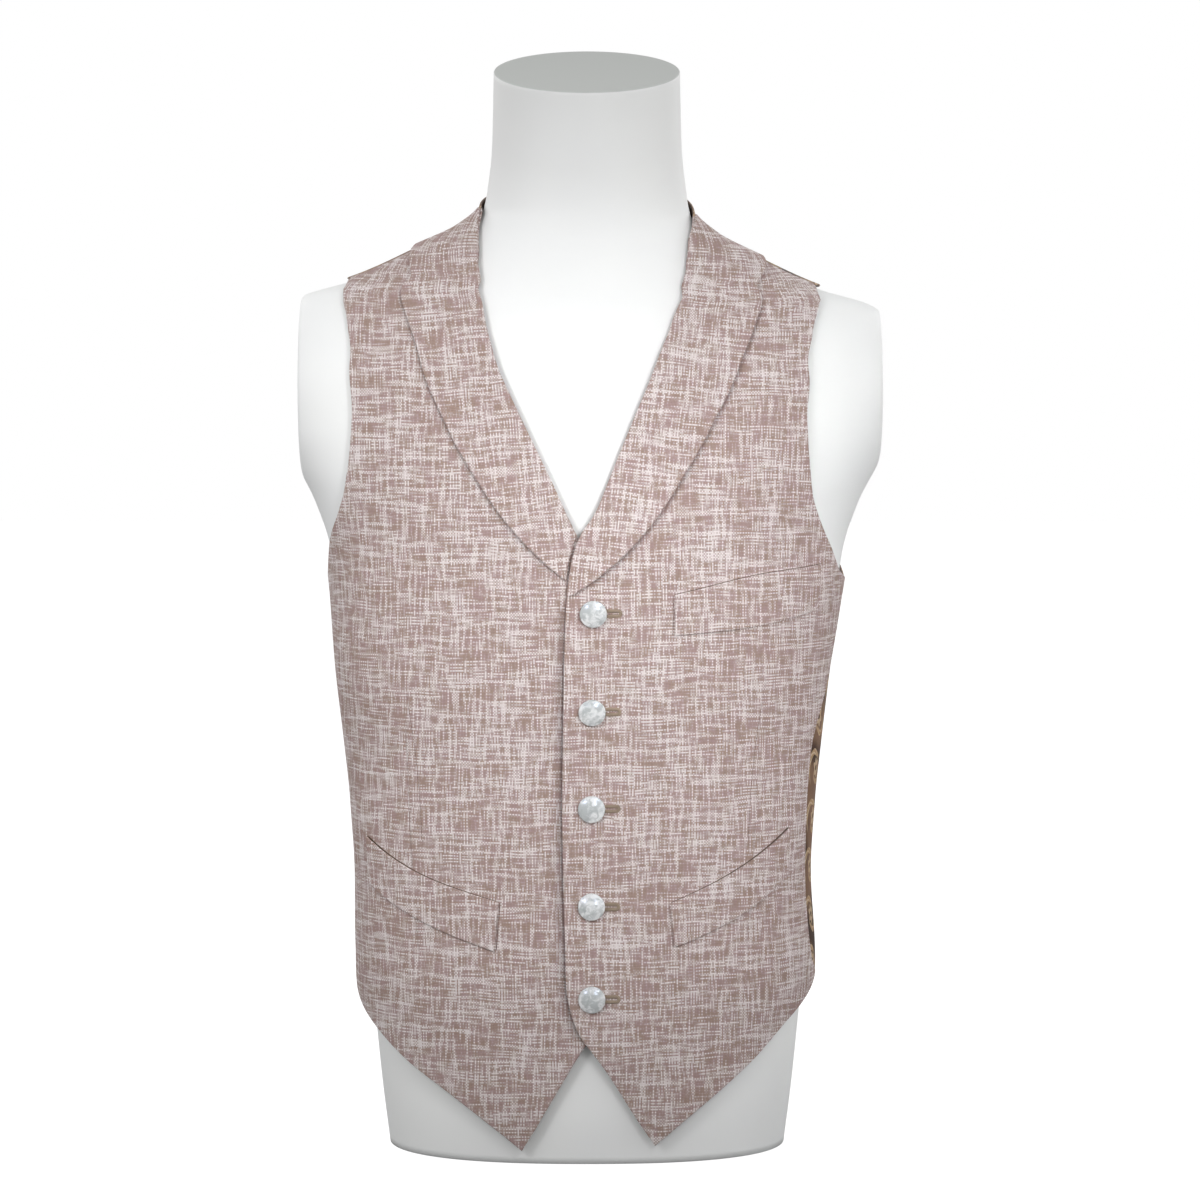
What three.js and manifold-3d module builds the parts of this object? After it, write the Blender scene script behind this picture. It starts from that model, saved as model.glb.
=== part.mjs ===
// A suit waistcoat on a limbless dress form. Millimetres, +Z up, the front faces -Y and +X is the wearer's left.
// Every piece of cloth is laid out by its turn round the form from centre front, in degrees, and its height.
import * as THREE from "three";
import { mergeVertices } from "three/addons/utils/BufferGeometryUtils.js";
import Module from "manifold-3d";

const RAD = Math.PI / 180;

// Wall thicknesses, the gap between pieces, and how far a front, a lapel or a pocket welt stands off what is
// beneath it.
const FRONT_WALL = 2;
const BACK_WALL = 1.6;
const LAPEL_WALL = 2;
const WELT_WALL = 2;
const GAP = 0.3;
const OVERLAP_LIFT = 0.6;
const LAPEL_LIFT = 0.7;
const WELT_LIFT = 0.5;

// Half the gap at a side seam, as a turn at the waistcoat's half width, and at a shoulder seam at its half depth.
const SIDE_GAP_TURN = GAP / 2 / 165 / RAD;
const SHOULDER_GAP_TURN = GAP / 2 / 45 / RAD;

// How far the form's flat arm stubs lie from its middle, and its height.
const RIGHT_STUB = 203.5;
const LEFT_STUB = 209;
const FORM_HEIGHT = 772;

// A table as one list of numbers per named column.
function columns(names, rows) {
  return Object.fromEntries(names.map((name, i) => [name, rows.map((row) => row[i])]));
}

// The form's level sections. square is the exponent of the section's superellipse, drop is how far the left
// shoulder hangs and the right one rises, nod tips the section forward, in thousandths, and ease is the room
// between the form and the cloth.
const form = columns(
  ["height", "half", "front", "back", "middle", "square", "drop", "nod", "ease"],
  [
    [0, 143, 88, 98, 6, 2.4, 0, 0, 7],
    [40, 148, 92, 103, 6, 2.4, 0, 0, 7],
    [90, 153, 93, 104, 5, 2.35, 0, 0, 6.5],
    [130, 156.5, 93.5, 100, 4, 2.35, 0, 0, 6],
    [160, 156, 91, 93, 3, 2.3, 0, 0, 7],
    [200, 155, 88, 84, 1, 2.3, 0, 0, 8],
    [250, 157, 88.5, 78, -1, 2.3, 0, 0, 9],
    [290, 162, 92, 80, -2, 2.3, 0, 0, 8],
    [330, 168, 99, 87, -2, 2.35, 0, 0, 6.5],
    [370, 174, 105, 96, -2, 2.4, 0, 0, 5],
    [405, 179.5, 109.5, 102, -2, 2.45, 0, 0, 3.5],
    [430, 183.5, 111, 106, -1, 2.45, 0, 0, 3],
    [465, 195, 110.5, 109, 0, 2.5, 0, 0, 2.8],
    [490, 208, 107.5, 110, 1, 2.5, 0.5, 0, 3],
    [515, 220, 103.5, 111, 2, 2.5, 1.5, 0, 3.2],
    [550, 229, 95.5, 110, 3, 2.5, 3, 0, 3.4],
    [580, 226, 85.5, 106, 5, 2.4, 3.5, 0, 2],
    [598, 217, 76, 101, 7, 2.3, 3.5, 0, 2],
    [608, 202, 70, 97, 8, 2.25, 3.5, 0, 2],
    [618, 168, 65, 92, 9, 2.2, 3.5, 0, 2],
    [639, 121, 55, 84, 10, 2.1, 3.5, 0, 2],
    [653, 93, 50.5, 80, 11, 2.05, 3, 0, 2],
    [670, 74.5, 49, 76, 12, 2, 2.5, 0, 2],
    [688, 71, 50, 75, 12, 2, 1, 20, 2.2],
    [716, 68, 53, 72, 10, 2, 0, 125, 2.2],
    [FORM_HEIGHT, 66.5, 57, 67, 6, 2, 0, 307, 2.2],
  ],
);

// The heights at which the form's mesh has a ring, closer together over the shoulders.
const FORM_RINGS = [
  0, 25, 55, 90, 130, 165, 200, 235, 270, 305, 340, 370, 400, 425, 448, 470, 492, 515, 540, 565, 585, 600, 610,
  618, 628, 639, 648, 656, 664, 672, 682, 696, 716, 742, FORM_HEIGHT,
];
const FORM_SIDES = 44;

// How far over the form's middle line the shoulders' drop comes in.
const DROP_WIDTH = 60;

// A smooth curve through a table, which never swings past its rows.
function curve(xs, ys) {
  const widths = xs.slice(1).map((x, i) => x - xs[i]);
  const slopes = widths.map((w, i) => (ys[i + 1] - ys[i]) / w);
  const tangents = xs.map((x, i) => {
    if (i === 0) return slopes[0];
    if (i === xs.length - 1) return slopes[i - 1];
    const before = slopes[i - 1];
    const after = slopes[i];
    if (before * after <= 0) return 0;
    const heavy = 2 * widths[i] + widths[i - 1];
    const light = widths[i] + 2 * widths[i - 1];
    return (heavy + light) / (heavy / before + light / after);
  });
  return (x) => {
    const at = Math.min(Math.max(x, xs[0]), xs[xs.length - 1]);
    let i = 0;
    while (i < widths.length - 1 && at > xs[i + 1]) i++;
    const w = widths[i];
    const t = (at - xs[i]) / w;
    const rest = 1 - t;
    const start = ys[i] * (1 + 2 * t) * rest * rest + w * tangents[i] * t * rest * rest;
    return start + ys[i + 1] * t * t * (3 - 2 * t) + w * tangents[i + 1] * t * t * (t - 1);
  };
}

const section = Object.fromEntries(Object.entries(form).map(([name, list]) => [name, curve(form.height, list)]));

function smoothstep(from, to, x) {
  const t = Math.min(Math.max((x - from) / (to - from), 0), 1);
  return t * t * (3 - 2 * t);
}

// A number raised to a power with its sign kept.
function signedPower(x, power) {
  return Math.sign(x) * Math.abs(x) ** power;
}

// The form's skin at a turn and a height.
function skin(turn, height) {
  const power = 2 / section.square(height);
  const sine = Math.sin(turn * RAD);
  const cosine = Math.cos(turn * RAD);
  const middle = section.middle(height);
  const depth = cosine > 0 ? middle + section.front(height) : section.back(height) - middle;
  const x = section.half(height) * signedPower(sine, power);
  const y = middle - depth * signedPower(cosine, power);
  const dropped = (section.drop(height) * x) / Math.hypot(x, DROP_WIDTH);
  return new THREE.Vector3(x, y, height - dropped + (section.nod(height) / 1000) * (y - middle));
}

// The outward direction of the skin.
function outward(turn, height) {
  const stepTurn = 0.05;
  const stepHeight = 0.05;
  const across = skin(turn + stepTurn, height).sub(skin(turn - stepTurn, height));
  const up = skin(turn, height + stepHeight).sub(skin(turn, height - stepHeight));
  return across.cross(up).normalize();
}

// The largest soft folds of the cloth, with their middle, reach and depth. A depth below 0 is a swell: the cloth
// stands off the form over the left hip.
const folds = columns(
  ["turn", "height", "reachTurn", "reachHeight", "depth"],
  [
    [-62, 280, 15, 36, 2.6],
    [52, 282, 12, 44, 2.2],
    [-70, 396, 12, 26, 1.4],
    [150, 262, 16, 60, 2.4],
    [-150, 256, 16, 64, 2.4],
    [118, 330, 12, 46, 1.6],
    [-122, 318, 12, 50, 1.6],
    [85, 130, 28, 42, -4.2],
  ],
);

function foldDepth(turn, height) {
  return folds.turn.reduce((sum, middle, i) => {
    const across = (turn - middle) / folds.reachTurn[i];
    const up = (height - folds.height[i]) / folds.reachHeight[i];
    return sum - folds.depth[i] * Math.exp(-across * across - up * up);
  }, 0);
}

// Below the chest the cloth hangs a little towards the wearer's right.
const HANG = 3;
function hang(turn, height) {
  return -HANG * Math.sin(turn * RAD) * (1 - smoothstep(330, 430, height));
}

// The point of the cloth at a turn and a height, a distance out from the cloth's inner face.
function clothPoint(turn, height, out) {
  const off = section.ease(height) + hang(turn, height) + foldDepth(turn, height) + out;
  return skin(turn, height).addScaledVector(outward(turn, height), off);
}

// The outlines of the pieces. along runs from the hem to the shoulder, across from the centre to the side, and
// turn is measured towards the piece's own side. The break of the lapel and the underarm share one row.
const BREAK = 0.565;

const leftEdge = columns(
  ["along", "turn", "height"],
  [
    [0, 15, 15],
    [0.04, 9, 39],
    [0.09, 3, 70],
    [0.12, 0, 87],
    [0.16, -2.6, 112],
    [0.19, -3.4, 131],
    [0.35, -4.3, 246],
    [0.5, -3.2, 357],
    [BREAK, -2.4, 403],
    [0.6, -1.6, 428],
    [0.66, 1.4, 469],
    [0.73, 4.1, 510],
    [0.8, 8.2, 562],
    [0.84, 11.4, 586],
    [0.86, 14, 600],
    [0.88, 19, 614],
    [0.905, 26.3, 627],
    [0.93, 32.5, 637],
    [0.965, 48, 652],
    [1, 76, 668],
  ],
);

const rightEdge = columns(
  ["along", "turn", "height"],
  [
    [0, 14, 12],
    [0.04, 9, 34],
    [0.09, 3.5, 64],
    [0.12, 0, 87],
    [0.16, -3, 110],
    [0.19, -4, 129],
    [0.35, -5.1, 246],
    [0.5, -4.2, 357],
    [BREAK, -3, 398],
    [0.6, -0.6, 426],
    [0.66, 2.8, 468],
    [0.73, 6.5, 510],
    [0.8, 11, 556],
    [0.84, 14.6, 587],
    [0.86, 16.9, 601],
    [0.88, 21.2, 613],
    [0.905, 29.3, 627],
    [0.93, 35.5, 637],
    [0.965, 53, 653],
    [1, 76, 670],
  ],
);

const leftSide = columns(
  ["along", "turn", "height"],
  [
    [0, 86, 124],
    [0.025, 77, 138],
    [0.08, 74.6, 163],
    [0.15, 74, 203],
    [0.235, 72.2, 245],
    [0.325, 71, 290],
    [0.36, 72.5, 305],
    [0.39, 76, 320],
    [0.42, 80.5, 336],
    [0.47, 85, 366],
    [BREAK, 88, 409],
  ],
);

const rightSide = columns(
  ["along", "turn", "height"],
  [
    [0, 91, 122],
    [0.15, 90, 200],
    [0.325, 90, 288],
    [BREAK, 91, 407],
  ],
);

const leftArmhole = columns(
  ["along", "turn", "height"],
  [
    [BREAK, 88, 409],
    [0.63, 74, 416],
    [0.66, 64, 434],
    [0.7, 55, 452],
    [0.74, 48, 471],
    [0.78, 43, 492],
    [0.82, 39.5, 513],
    [0.86, 37.5, 538],
    [0.9, 37.7, 562],
    [0.93, 40.5, 583],
    [0.96, 46, 600],
    [0.98, 56, 611],
    [1, 76, 619],
  ],
);

const rightArmhole = columns(
  ["along", "turn", "height"],
  [
    [BREAK, 91, 407],
    [0.62, 83, 416],
    [0.66, 72, 438],
    [0.7, 60, 459],
    [0.74, 52, 478],
    [0.78, 46.5, 497],
    [0.82, 43, 516],
    [0.86, 41, 540],
    [0.9, 41.5, 563],
    [0.93, 44.5, 585],
    [0.96, 51, 602],
    [0.98, 60, 611],
    [1, 77, 617],
  ],
);

// The back's armhole between the underarm and the shoulder: rows of along, turn and height.
const backArmhole = [
  [0.6, 99, 417],
  [0.64, 109, 432],
  [0.68, 118, 452],
  [0.72, 126, 474],
  [0.76, 132, 500],
  [0.8, 136, 528],
  [0.85, 138, 556],
  [0.89, 137, 580],
  [0.93, 131, 600],
  [0.965, 115, 613],
];

const leftHem = columns(
  ["across", "turn", "height"],
  [
    [0, 15, 15],
    [0.1, 21, 28],
    [0.3, 34, 52],
    [0.5, 47, 73],
    [0.7, 60, 94],
    [0.85, 70, 106],
    [1, 86, 124],
  ],
);

const rightHem = columns(
  ["across", "turn", "height"],
  [
    [0, 14, 12],
    [0.1, 20, 25],
    [0.3, 35, 51],
    [0.5, 50, 71],
    [0.7, 65, 91],
    [0.85, 77, 105],
    [1, 91, 122],
  ],
);

// The shoulder seams, from the neck to the armhole.
const leftShoulder = columns(
  ["across", "turn", "height"],
  [
    [0, 76, 668],
    [0.5, 75, 644],
    [1, 76, 619],
  ],
);

const rightShoulder = columns(
  ["across", "turn", "height"],
  [
    [0, 76, 670],
    [0.5, 76, 644],
    [1, 77, 617],
  ],
);

// The back's centre seam up to the nape, and its neckline from there to the shoulder seam.
const NAPE = 0.86;
const centreBack = columns(
  ["along", "turn", "height"],
  [
    [0, 180, 116],
    [BREAK, 180, 408],
    [NAPE, 180, 688],
  ],
);
const backNeck = [
  [NAPE, 180, 688],
  [0.9, 150, 687],
  [0.94, 118, 684],
  [0.97, 98, 678],
];

// The lapels' outer edges, along from the break to the shoulder.
const leftLapelEdge = columns(
  ["along", "turn", "height"],
  [
    [0, -1.4, 405],
    [0.07, 1.7, 418],
    [0.165, 6.1, 435],
    [0.3, 11.8, 467],
    [0.42, 15.6, 498],
    [0.56, 19, 533],
    [0.71, 24.5, 574],
    [0.85, 35.5, 610],
    [0.94, 57, 627],
    [1, 75, 636],
  ],
);

const rightLapelEdge = columns(
  ["along", "turn", "height"],
  [
    [0, 3, 416],
    [0.07, 6, 426],
    [0.165, 10, 442],
    [0.3, 15, 470],
    [0.42, 18.8, 500],
    [0.56, 22.3, 535],
    [0.71, 27, 574],
    [0.85, 38, 610],
    [0.94, 58, 628],
    [1, 76, 638],
  ],
);

// The pocket welts: turn and height of the top and the bottom edge, across from the centre to the side.
const weltColumns = ["across", "topTurn", "topHeight", "bottomTurn", "bottomHeight"];
const breastWelt = columns(weltColumns, [
  [0, 15.2, 404, 16, 376],
  [0.5, 36, 417, 34, 380.5],
  [1, 59.6, 423, 59.2, 391],
]);
const leftHipWelt = columns(weltColumns, [
  [0, 18.3, 185, 19.5, 154],
  [0.5, 38.5, 208, 38.8, 174],
  [1, 60, 235, 60, 201],
]);
const rightHipWelt = columns(weltColumns, [
  [0, 19.4, 186, 20.3, 151],
  [0.5, 42.5, 204, 42, 170],
  [1, 67, 228, 67, 194],
]);

// A closed mesh from points and triangles, turned to face out.
function closedMesh(name, points, triangles, colour) {
  const volume = triangles.reduce((sum, [a, b, c]) => {
    const face = new THREE.Vector3().crossVectors(points[b], points[c]);
    return sum + points[a].dot(face);
  }, 0);
  const facing = volume < 0 ? triangles.map(([a, b, c]) => [a, c, b]) : triangles;
  const geometry = new THREE.BufferGeometry().setFromPoints(points);
  geometry.setIndex(facing.flat());
  geometry.computeVertexNormals();
  const mesh = new THREE.Mesh(geometry, new THREE.MeshStandardMaterial({ color: colour, roughness: 0.9 }));
  mesh.name = name;
  return mesh;
}

// A sheet of cloth as a closed wall. place(i, j) gives the turn and height of a point of the grid, and inner
// and outer give the distances of the two faces from the cloth's inner surface.
function wall(name, acrossCount, alongCount, place, inner, outer, colour) {
  const points = [];
  for (const off of [inner, outer])
    for (let j = 0; j <= alongCount; j++)
      for (let i = 0; i <= acrossCount; i++) {
        const [turn, height] = place(i, j);
        points.push(clothPoint(turn, height, off(turn, height)));
      }
  const width = acrossCount + 1;
  const faceSize = width * (alongCount + 1);
  const at = (i, j, face) => face * faceSize + j * width + i;
  const triangles = [];
  const quad = (a, b, c, d) => triangles.push([a, b, c], [a, c, d]);
  for (let j = 0; j < alongCount; j++)
    for (let i = 0; i < acrossCount; i++) {
      quad(at(i, j, 1), at(i + 1, j, 1), at(i + 1, j + 1, 1), at(i, j + 1, 1));
      quad(at(i, j, 0), at(i, j + 1, 0), at(i + 1, j + 1, 0), at(i + 1, j, 0));
    }
  for (let i = 0; i < acrossCount; i++) {
    quad(at(i, 0, 0), at(i + 1, 0, 0), at(i + 1, 0, 1), at(i, 0, 1));
    quad(at(i, alongCount, 0), at(i, alongCount, 1), at(i + 1, alongCount, 1), at(i + 1, alongCount, 0));
  }
  for (let j = 0; j < alongCount; j++) {
    quad(at(0, j, 0), at(0, j, 1), at(0, j + 1, 1), at(0, j + 1, 0));
    quad(at(acrossCount, j, 0), at(acrossCount, j + 1, 0), at(acrossCount, j + 1, 1), at(acrossCount, j, 1));
  }
  return closedMesh(name, points, triangles, colour);
}

// The turn and height at a place along a table.
function route(table, key = "along") {
  const turn = curve(table[key], table.turn);
  const height = curve(table[key], table.height);
  return (t) => [turn(t), height(t)];
}

// One route up to a corner and another after it, each a smooth curve of its own.
function cornered(before, corner, after) {
  return (t) => (t <= corner ? before(t) : after(t));
}

// A point inside four edges, from the two edges that run along and the two that run across.
function patch(centre, side, bottom, top) {
  return (u, v) => {
    const [c, s, b, t] = [centre(v), side(v), bottom(u), top(u)];
    return [0, 1].map((k) => {
      const ruled = (1 - u) * c[k] + u * s[k] + (1 - v) * b[k] + v * t[k];
      const low = (1 - u) * centre(0)[k] + u * side(0)[k];
      const high = (1 - u) * centre(1)[k] + u * side(1)[k];
      return ruled - (1 - v) * low - v * high;
    });
  };
}

// The rows of the panels' meshes, shared so that the panels meet row by row at their seams.
const ROWS = [
  0, 0.02, 0.045, 0.07, 0.1, 0.13, 0.16, 0.19, 0.225, 0.26, 0.3, 0.34, 0.38, 0.42, 0.46, 0.5, 0.535, BREAK, 0.59,
  0.62, 0.65, 0.68, 0.71, 0.74, 0.77, 0.8, 0.83, 0.86, 0.89, 0.915, 0.935, 0.953, 0.969, 0.984, 1,
];
const LAPEL_ROWS = ROWS.filter((along) => along >= BREAK);
const PANEL_STRIPS = 14;
const LAPEL_STRIPS = 5;

// The wearer's left front lies over the right one, raised until past the right one's edge.
function overlapLift(turn, height) {
  const beside = 1 - smoothstep(9, 18, turn);
  const above = smoothstep(50, 80, height) * (1 - smoothstep(450, 495, height));
  return (FRONT_WALL + OVERLAP_LIFT) * beside * above;
}

const WOOL = "#a8918e";
const SATIN = "#7c6756";
const PEARL = "#dcdedf";
const FORM_WHITE = "#f4f4f4";

// A front, cut from the pointed hem to the shoulder, on the side given as +1 for the wearer's left.
function front(name, sign, edge, side, armhole, hem, shoulder, lift) {
  const inside = patch(
    route(edge),
    cornered(route(side), BREAK, route(armhole)),
    route(hem, "across"),
    route(shoulder, "across"),
  );
  const place = (i, j) => {
    const u = i / PANEL_STRIPS;
    const [turn, height] = inside(u, ROWS[j]);
    const gap = j === ROWS.length - 1 ? SHOULDER_GAP_TURN : SIDE_GAP_TURN * u;
    return [sign * (turn - gap), height];
  };
  const outer = (turn, height) => lift(turn, height) + FRONT_WALL;
  return wall(name, PANEL_STRIPS, ROWS.length - 1, place, lift, outer, WOOL);
}

// Half of the back, from the centre seam and the neckline to the side seam and the armhole.
function back(name, sign, side, shoulder) {
  const outline = (...rows) => route(columns(["along", "turn", "height"], rows));
  const neck = outline(...backNeck, [1, shoulder.turn[0], shoulder.height[0]]);
  const armhole = outline(
    [BREAK, side.turn.at(-1), side.height.at(-1)],
    ...backArmhole,
    [1, shoulder.turn.at(-1), shoulder.height.at(-1)],
  );
  const hem = (u) => [180 + u * (side.turn[0] - 180), centreBack.height[0] + u * u * (side.height[0] - centreBack.height[0])];
  const inside = patch(
    cornered(route(centreBack), NAPE, neck),
    cornered(route(side), BREAK, armhole),
    hem,
    route(shoulder, "across"),
  );
  const place = (i, j) => {
    const u = i / PANEL_STRIPS;
    const [turn, height] = inside(u, ROWS[j]);
    const gap = j === ROWS.length - 1 ? SHOULDER_GAP_TURN : SIDE_GAP_TURN * (2 * u - 1);
    return [sign * (turn + gap), height];
  };
  return wall(name, PANEL_STRIPS, ROWS.length - 1, place, () => 0, () => BACK_WALL, SATIN);
}

// A lapel, from the front's inner edge to its own outer edge, lying on the front.
function lapel(name, sign, inner, outer, lift) {
  const edge = route(outer);
  const place = (i, j) => {
    const v = (LAPEL_ROWS[j] - BREAK) / (1 - BREAK);
    const u = i / LAPEL_STRIPS;
    const [from, to] = [inner(v), edge(v)];
    return [0, 1].map((k) => (k ? 1 : sign) * ((1 - u) * from[k] + u * to[k]));
  };
  const under = (turn, height) => lift(turn, height) + FRONT_WALL + LAPEL_LIFT;
  const over = (turn, height) => under(turn, height) + LAPEL_WALL;
  return wall(name, LAPEL_STRIPS, LAPEL_ROWS.length - 1, place, under, over, WOOL);
}

// The right lapel's inner edge stops beside the left front where that lies over it.
function rightLapelInner(v) {
  const [turn, height] = route(rightEdge)(0.585 + (1 - 0.585) * v);
  const beside = 0.4 - curve(leftEdge.height, leftEdge.turn)(height);
  return [Math.max(turn, beside), height];
}

// A pocket welt: a straight band, lying on the front.
function welt(name, sign, table, lift) {
  const [acrossCount, alongCount] = [8, 2];
  const top = [curve(table.across, table.topTurn), curve(table.across, table.topHeight)];
  const bottom = [curve(table.across, table.bottomTurn), curve(table.across, table.bottomHeight)];
  const place = (i, j) => {
    const u = i / acrossCount;
    const v = j / alongCount;
    const [turn, height] = [0, 1].map((k) => (1 - v) * bottom[k](u) + v * top[k](u));
    return [sign * turn, height];
  };
  const under = (turn, height) => lift(turn, height) + FRONT_WALL + WELT_LIFT;
  const over = (turn, height) => under(turn, height) + WELT_WALL;
  return wall(name, acrossCount, alongCount, place, under, over, WOOL);
}

// A solid from rings of points of one count, closed by a point at each end.
function rings(name, first, list, last, colour) {
  const count = list[0].length;
  const points = [...list.flat(), first, last];
  const triangles = [];
  for (let j = 0; j < list.length - 1; j++)
    for (let i = 0; i < count; i++) {
      const [a, b] = [j * count + i, j * count + ((i + 1) % count)];
      triangles.push([a, b, b + count], [a, b + count, a + count]);
    }
  const end = (list.length - 1) * count;
  for (let i = 0; i < count; i++) {
    const next = (i + 1) % count;
    triangles.push([list.length * count, next, i], [list.length * count + 1, end + i, end + next]);
  }
  return closedMesh(name, points, triangles, colour);
}

// A button: a domed round top, 19 mm wide, with a short shank behind it. radius and out from the cloth.
const buttonProfile = columns(
  ["radius", "out"],
  [
    [2.5, 0],
    [2.5, 1],
    [8.6, 1.3],
    [9.5, 2.2],
    [8.9, 3.1],
    [6, 4.4],
    [3, 4.9],
  ],
);
const BUTTON_SIDES = 18;
const BUTTON_TURN = 0.7;
const BUTTON_HEIGHTS = [392, 324, 254, 183.5, 120];
const BUTTON_CROWN = 5.1;

function button(height, index) {
  const direction = outward(BUTTON_TURN, height);
  const seat = clothPoint(BUTTON_TURN, height, overlapLift(BUTTON_TURN, height) + FRONT_WALL + GAP);
  const turned = new THREE.Quaternion().setFromUnitVectors(new THREE.Vector3(0, 0, 1), direction);
  const spot = (radius, angle, out) =>
    new THREE.Vector3(radius * Math.cos(angle), radius * Math.sin(angle), out).applyQuaternion(turned).add(seat);
  const list = buttonProfile.radius.map((radius, i) =>
    Array.from({ length: BUTTON_SIDES }, (_, k) =>
      spot(radius, (2 * Math.PI * k) / BUTTON_SIDES, buttonProfile.out[i]),
    ),
  );
  return rings("button_" + (index + 1), spot(0, 0, 0), list, spot(0, 0, BUTTON_CROWN), PEARL);
}

// The dress form: its skin from the base to the tilted neck cap, cut flat at the arm stubs.
async function dressForm() {
  const list = FORM_RINGS.map((height) =>
    Array.from({ length: FORM_SIDES }, (_, k) => skin((360 * k) / FORM_SIDES - 180, height)),
  );
  const middle = (ring) => ring.reduce((sum, p) => sum.add(p), new THREE.Vector3()).divideScalar(ring.length);
  const whole = rings("dress_form", middle(list[0]), list, middle(list[list.length - 1]), FORM_WHITE);
  const kernel = await Module();
  kernel.setup();
  const solidOf = (geometry) =>
    new kernel.Manifold(
      new kernel.Mesh({
        numProp: 3,
        vertProperties: geometry.attributes.position.array,
        triVerts: new Uint32Array(geometry.index.array),
      }),
    );
  const deep = 3 * FORM_HEIGHT;
  const block = new THREE.BoxGeometry(LEFT_STUB + RIGHT_STUB, deep, deep);
  block.translate((LEFT_STUB - RIGHT_STUB) / 2, 0, 0);
  block.deleteAttribute("normal");
  block.deleteAttribute("uv");
  const cut = solidOf(whole.geometry).intersect(solidOf(mergeVertices(block))).getMesh();
  const geometry = new THREE.BufferGeometry();
  geometry.setAttribute("position", new THREE.BufferAttribute(new Float32Array(cut.vertProperties), 3));
  geometry.setIndex(new THREE.BufferAttribute(new Uint32Array(cut.triVerts), 1));
  geometry.computeVertexNormals();
  const mesh = new THREE.Mesh(geometry, whole.material);
  mesh.name = "dress_form";
  return mesh;
}

const noLift = () => 0;
const group = new THREE.Group();
group.add(
  await dressForm(),
  front("front_left", 1, leftEdge, leftSide, leftArmhole, leftHem, leftShoulder, overlapLift),
  front("front_right", -1, rightEdge, rightSide, rightArmhole, rightHem, rightShoulder, noLift),
  back("back_left", 1, leftSide, leftShoulder),
  back("back_right", -1, rightSide, rightShoulder),
  lapel("lapel_left", 1, (v) => route(leftEdge)(BREAK + (1 - BREAK) * v), leftLapelEdge, overlapLift),
  lapel("lapel_right", -1, rightLapelInner, rightLapelEdge, noLift),
  welt("breast_welt", 1, breastWelt, overlapLift),
  welt("hip_welt_left", 1, leftHipWelt, overlapLift),
  welt("hip_welt_right", -1, rightHipWelt, noLift),
  ...BUTTON_HEIGHTS.map(button),
);

export default group;
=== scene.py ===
"""A suit waistcoat of slubbed suiting on a white dress form, as a tailor would put it together.

Lengths are in millimetres while a shape is worked out, and metres in the meshes. +Z is up, the front
faces -Y and +X is the wearer's left. Cloth is laid out by its turn round the form from centre front, in
degrees, and its height. The panels are cut to the outlines that the solids have.
"""
import bpy
import numpy as np
from mathutils import Matrix


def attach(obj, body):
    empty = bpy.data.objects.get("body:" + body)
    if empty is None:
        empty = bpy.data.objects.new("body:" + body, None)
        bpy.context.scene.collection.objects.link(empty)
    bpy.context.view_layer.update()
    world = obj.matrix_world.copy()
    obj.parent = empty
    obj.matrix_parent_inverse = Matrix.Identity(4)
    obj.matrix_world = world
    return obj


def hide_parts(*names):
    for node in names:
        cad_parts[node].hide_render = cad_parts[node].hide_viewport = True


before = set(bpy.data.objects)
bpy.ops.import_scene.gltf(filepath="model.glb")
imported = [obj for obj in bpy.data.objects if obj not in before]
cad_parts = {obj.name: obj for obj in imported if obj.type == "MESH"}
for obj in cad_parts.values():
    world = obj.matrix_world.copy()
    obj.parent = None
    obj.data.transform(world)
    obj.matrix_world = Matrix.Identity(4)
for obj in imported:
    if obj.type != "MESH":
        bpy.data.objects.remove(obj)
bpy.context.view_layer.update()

# Camera
# It stands in front of the chest, a little above it, and looks down by a few degrees, far enough away that
# the shoulders hardly taper. The lens gives the photograph's square frame, and colours are shown as they are.
MM = 0.001
AIM = np.array([9.4, 0.0, 392.2])
CAMERA_DISTANCE = 2800.0
CAMERA_PITCH = np.radians(4.0)
FRAME_WIDTH = 864.0
SENSOR = 36.0

camera_data = bpy.data.cameras.new("camera")
camera_data.sensor_width = SENSOR
camera_data.lens = SENSOR * CAMERA_DISTANCE / FRAME_WIDTH
camera_data.clip_start = 0.05
camera_data.clip_end = 60.0
camera = bpy.data.objects.new("camera", camera_data)
bpy.context.scene.collection.objects.link(camera)
back_off = np.array([0.0, -np.cos(CAMERA_PITCH), np.sin(CAMERA_PITCH)]) * CAMERA_DISTANCE
camera.location = (AIM + back_off) * MM
camera.rotation_euler = (np.pi / 2 - CAMERA_PITCH, 0.0, 0.0)
bpy.context.scene.camera = camera
bpy.context.scene.view_settings.view_transform = "Standard"


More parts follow.
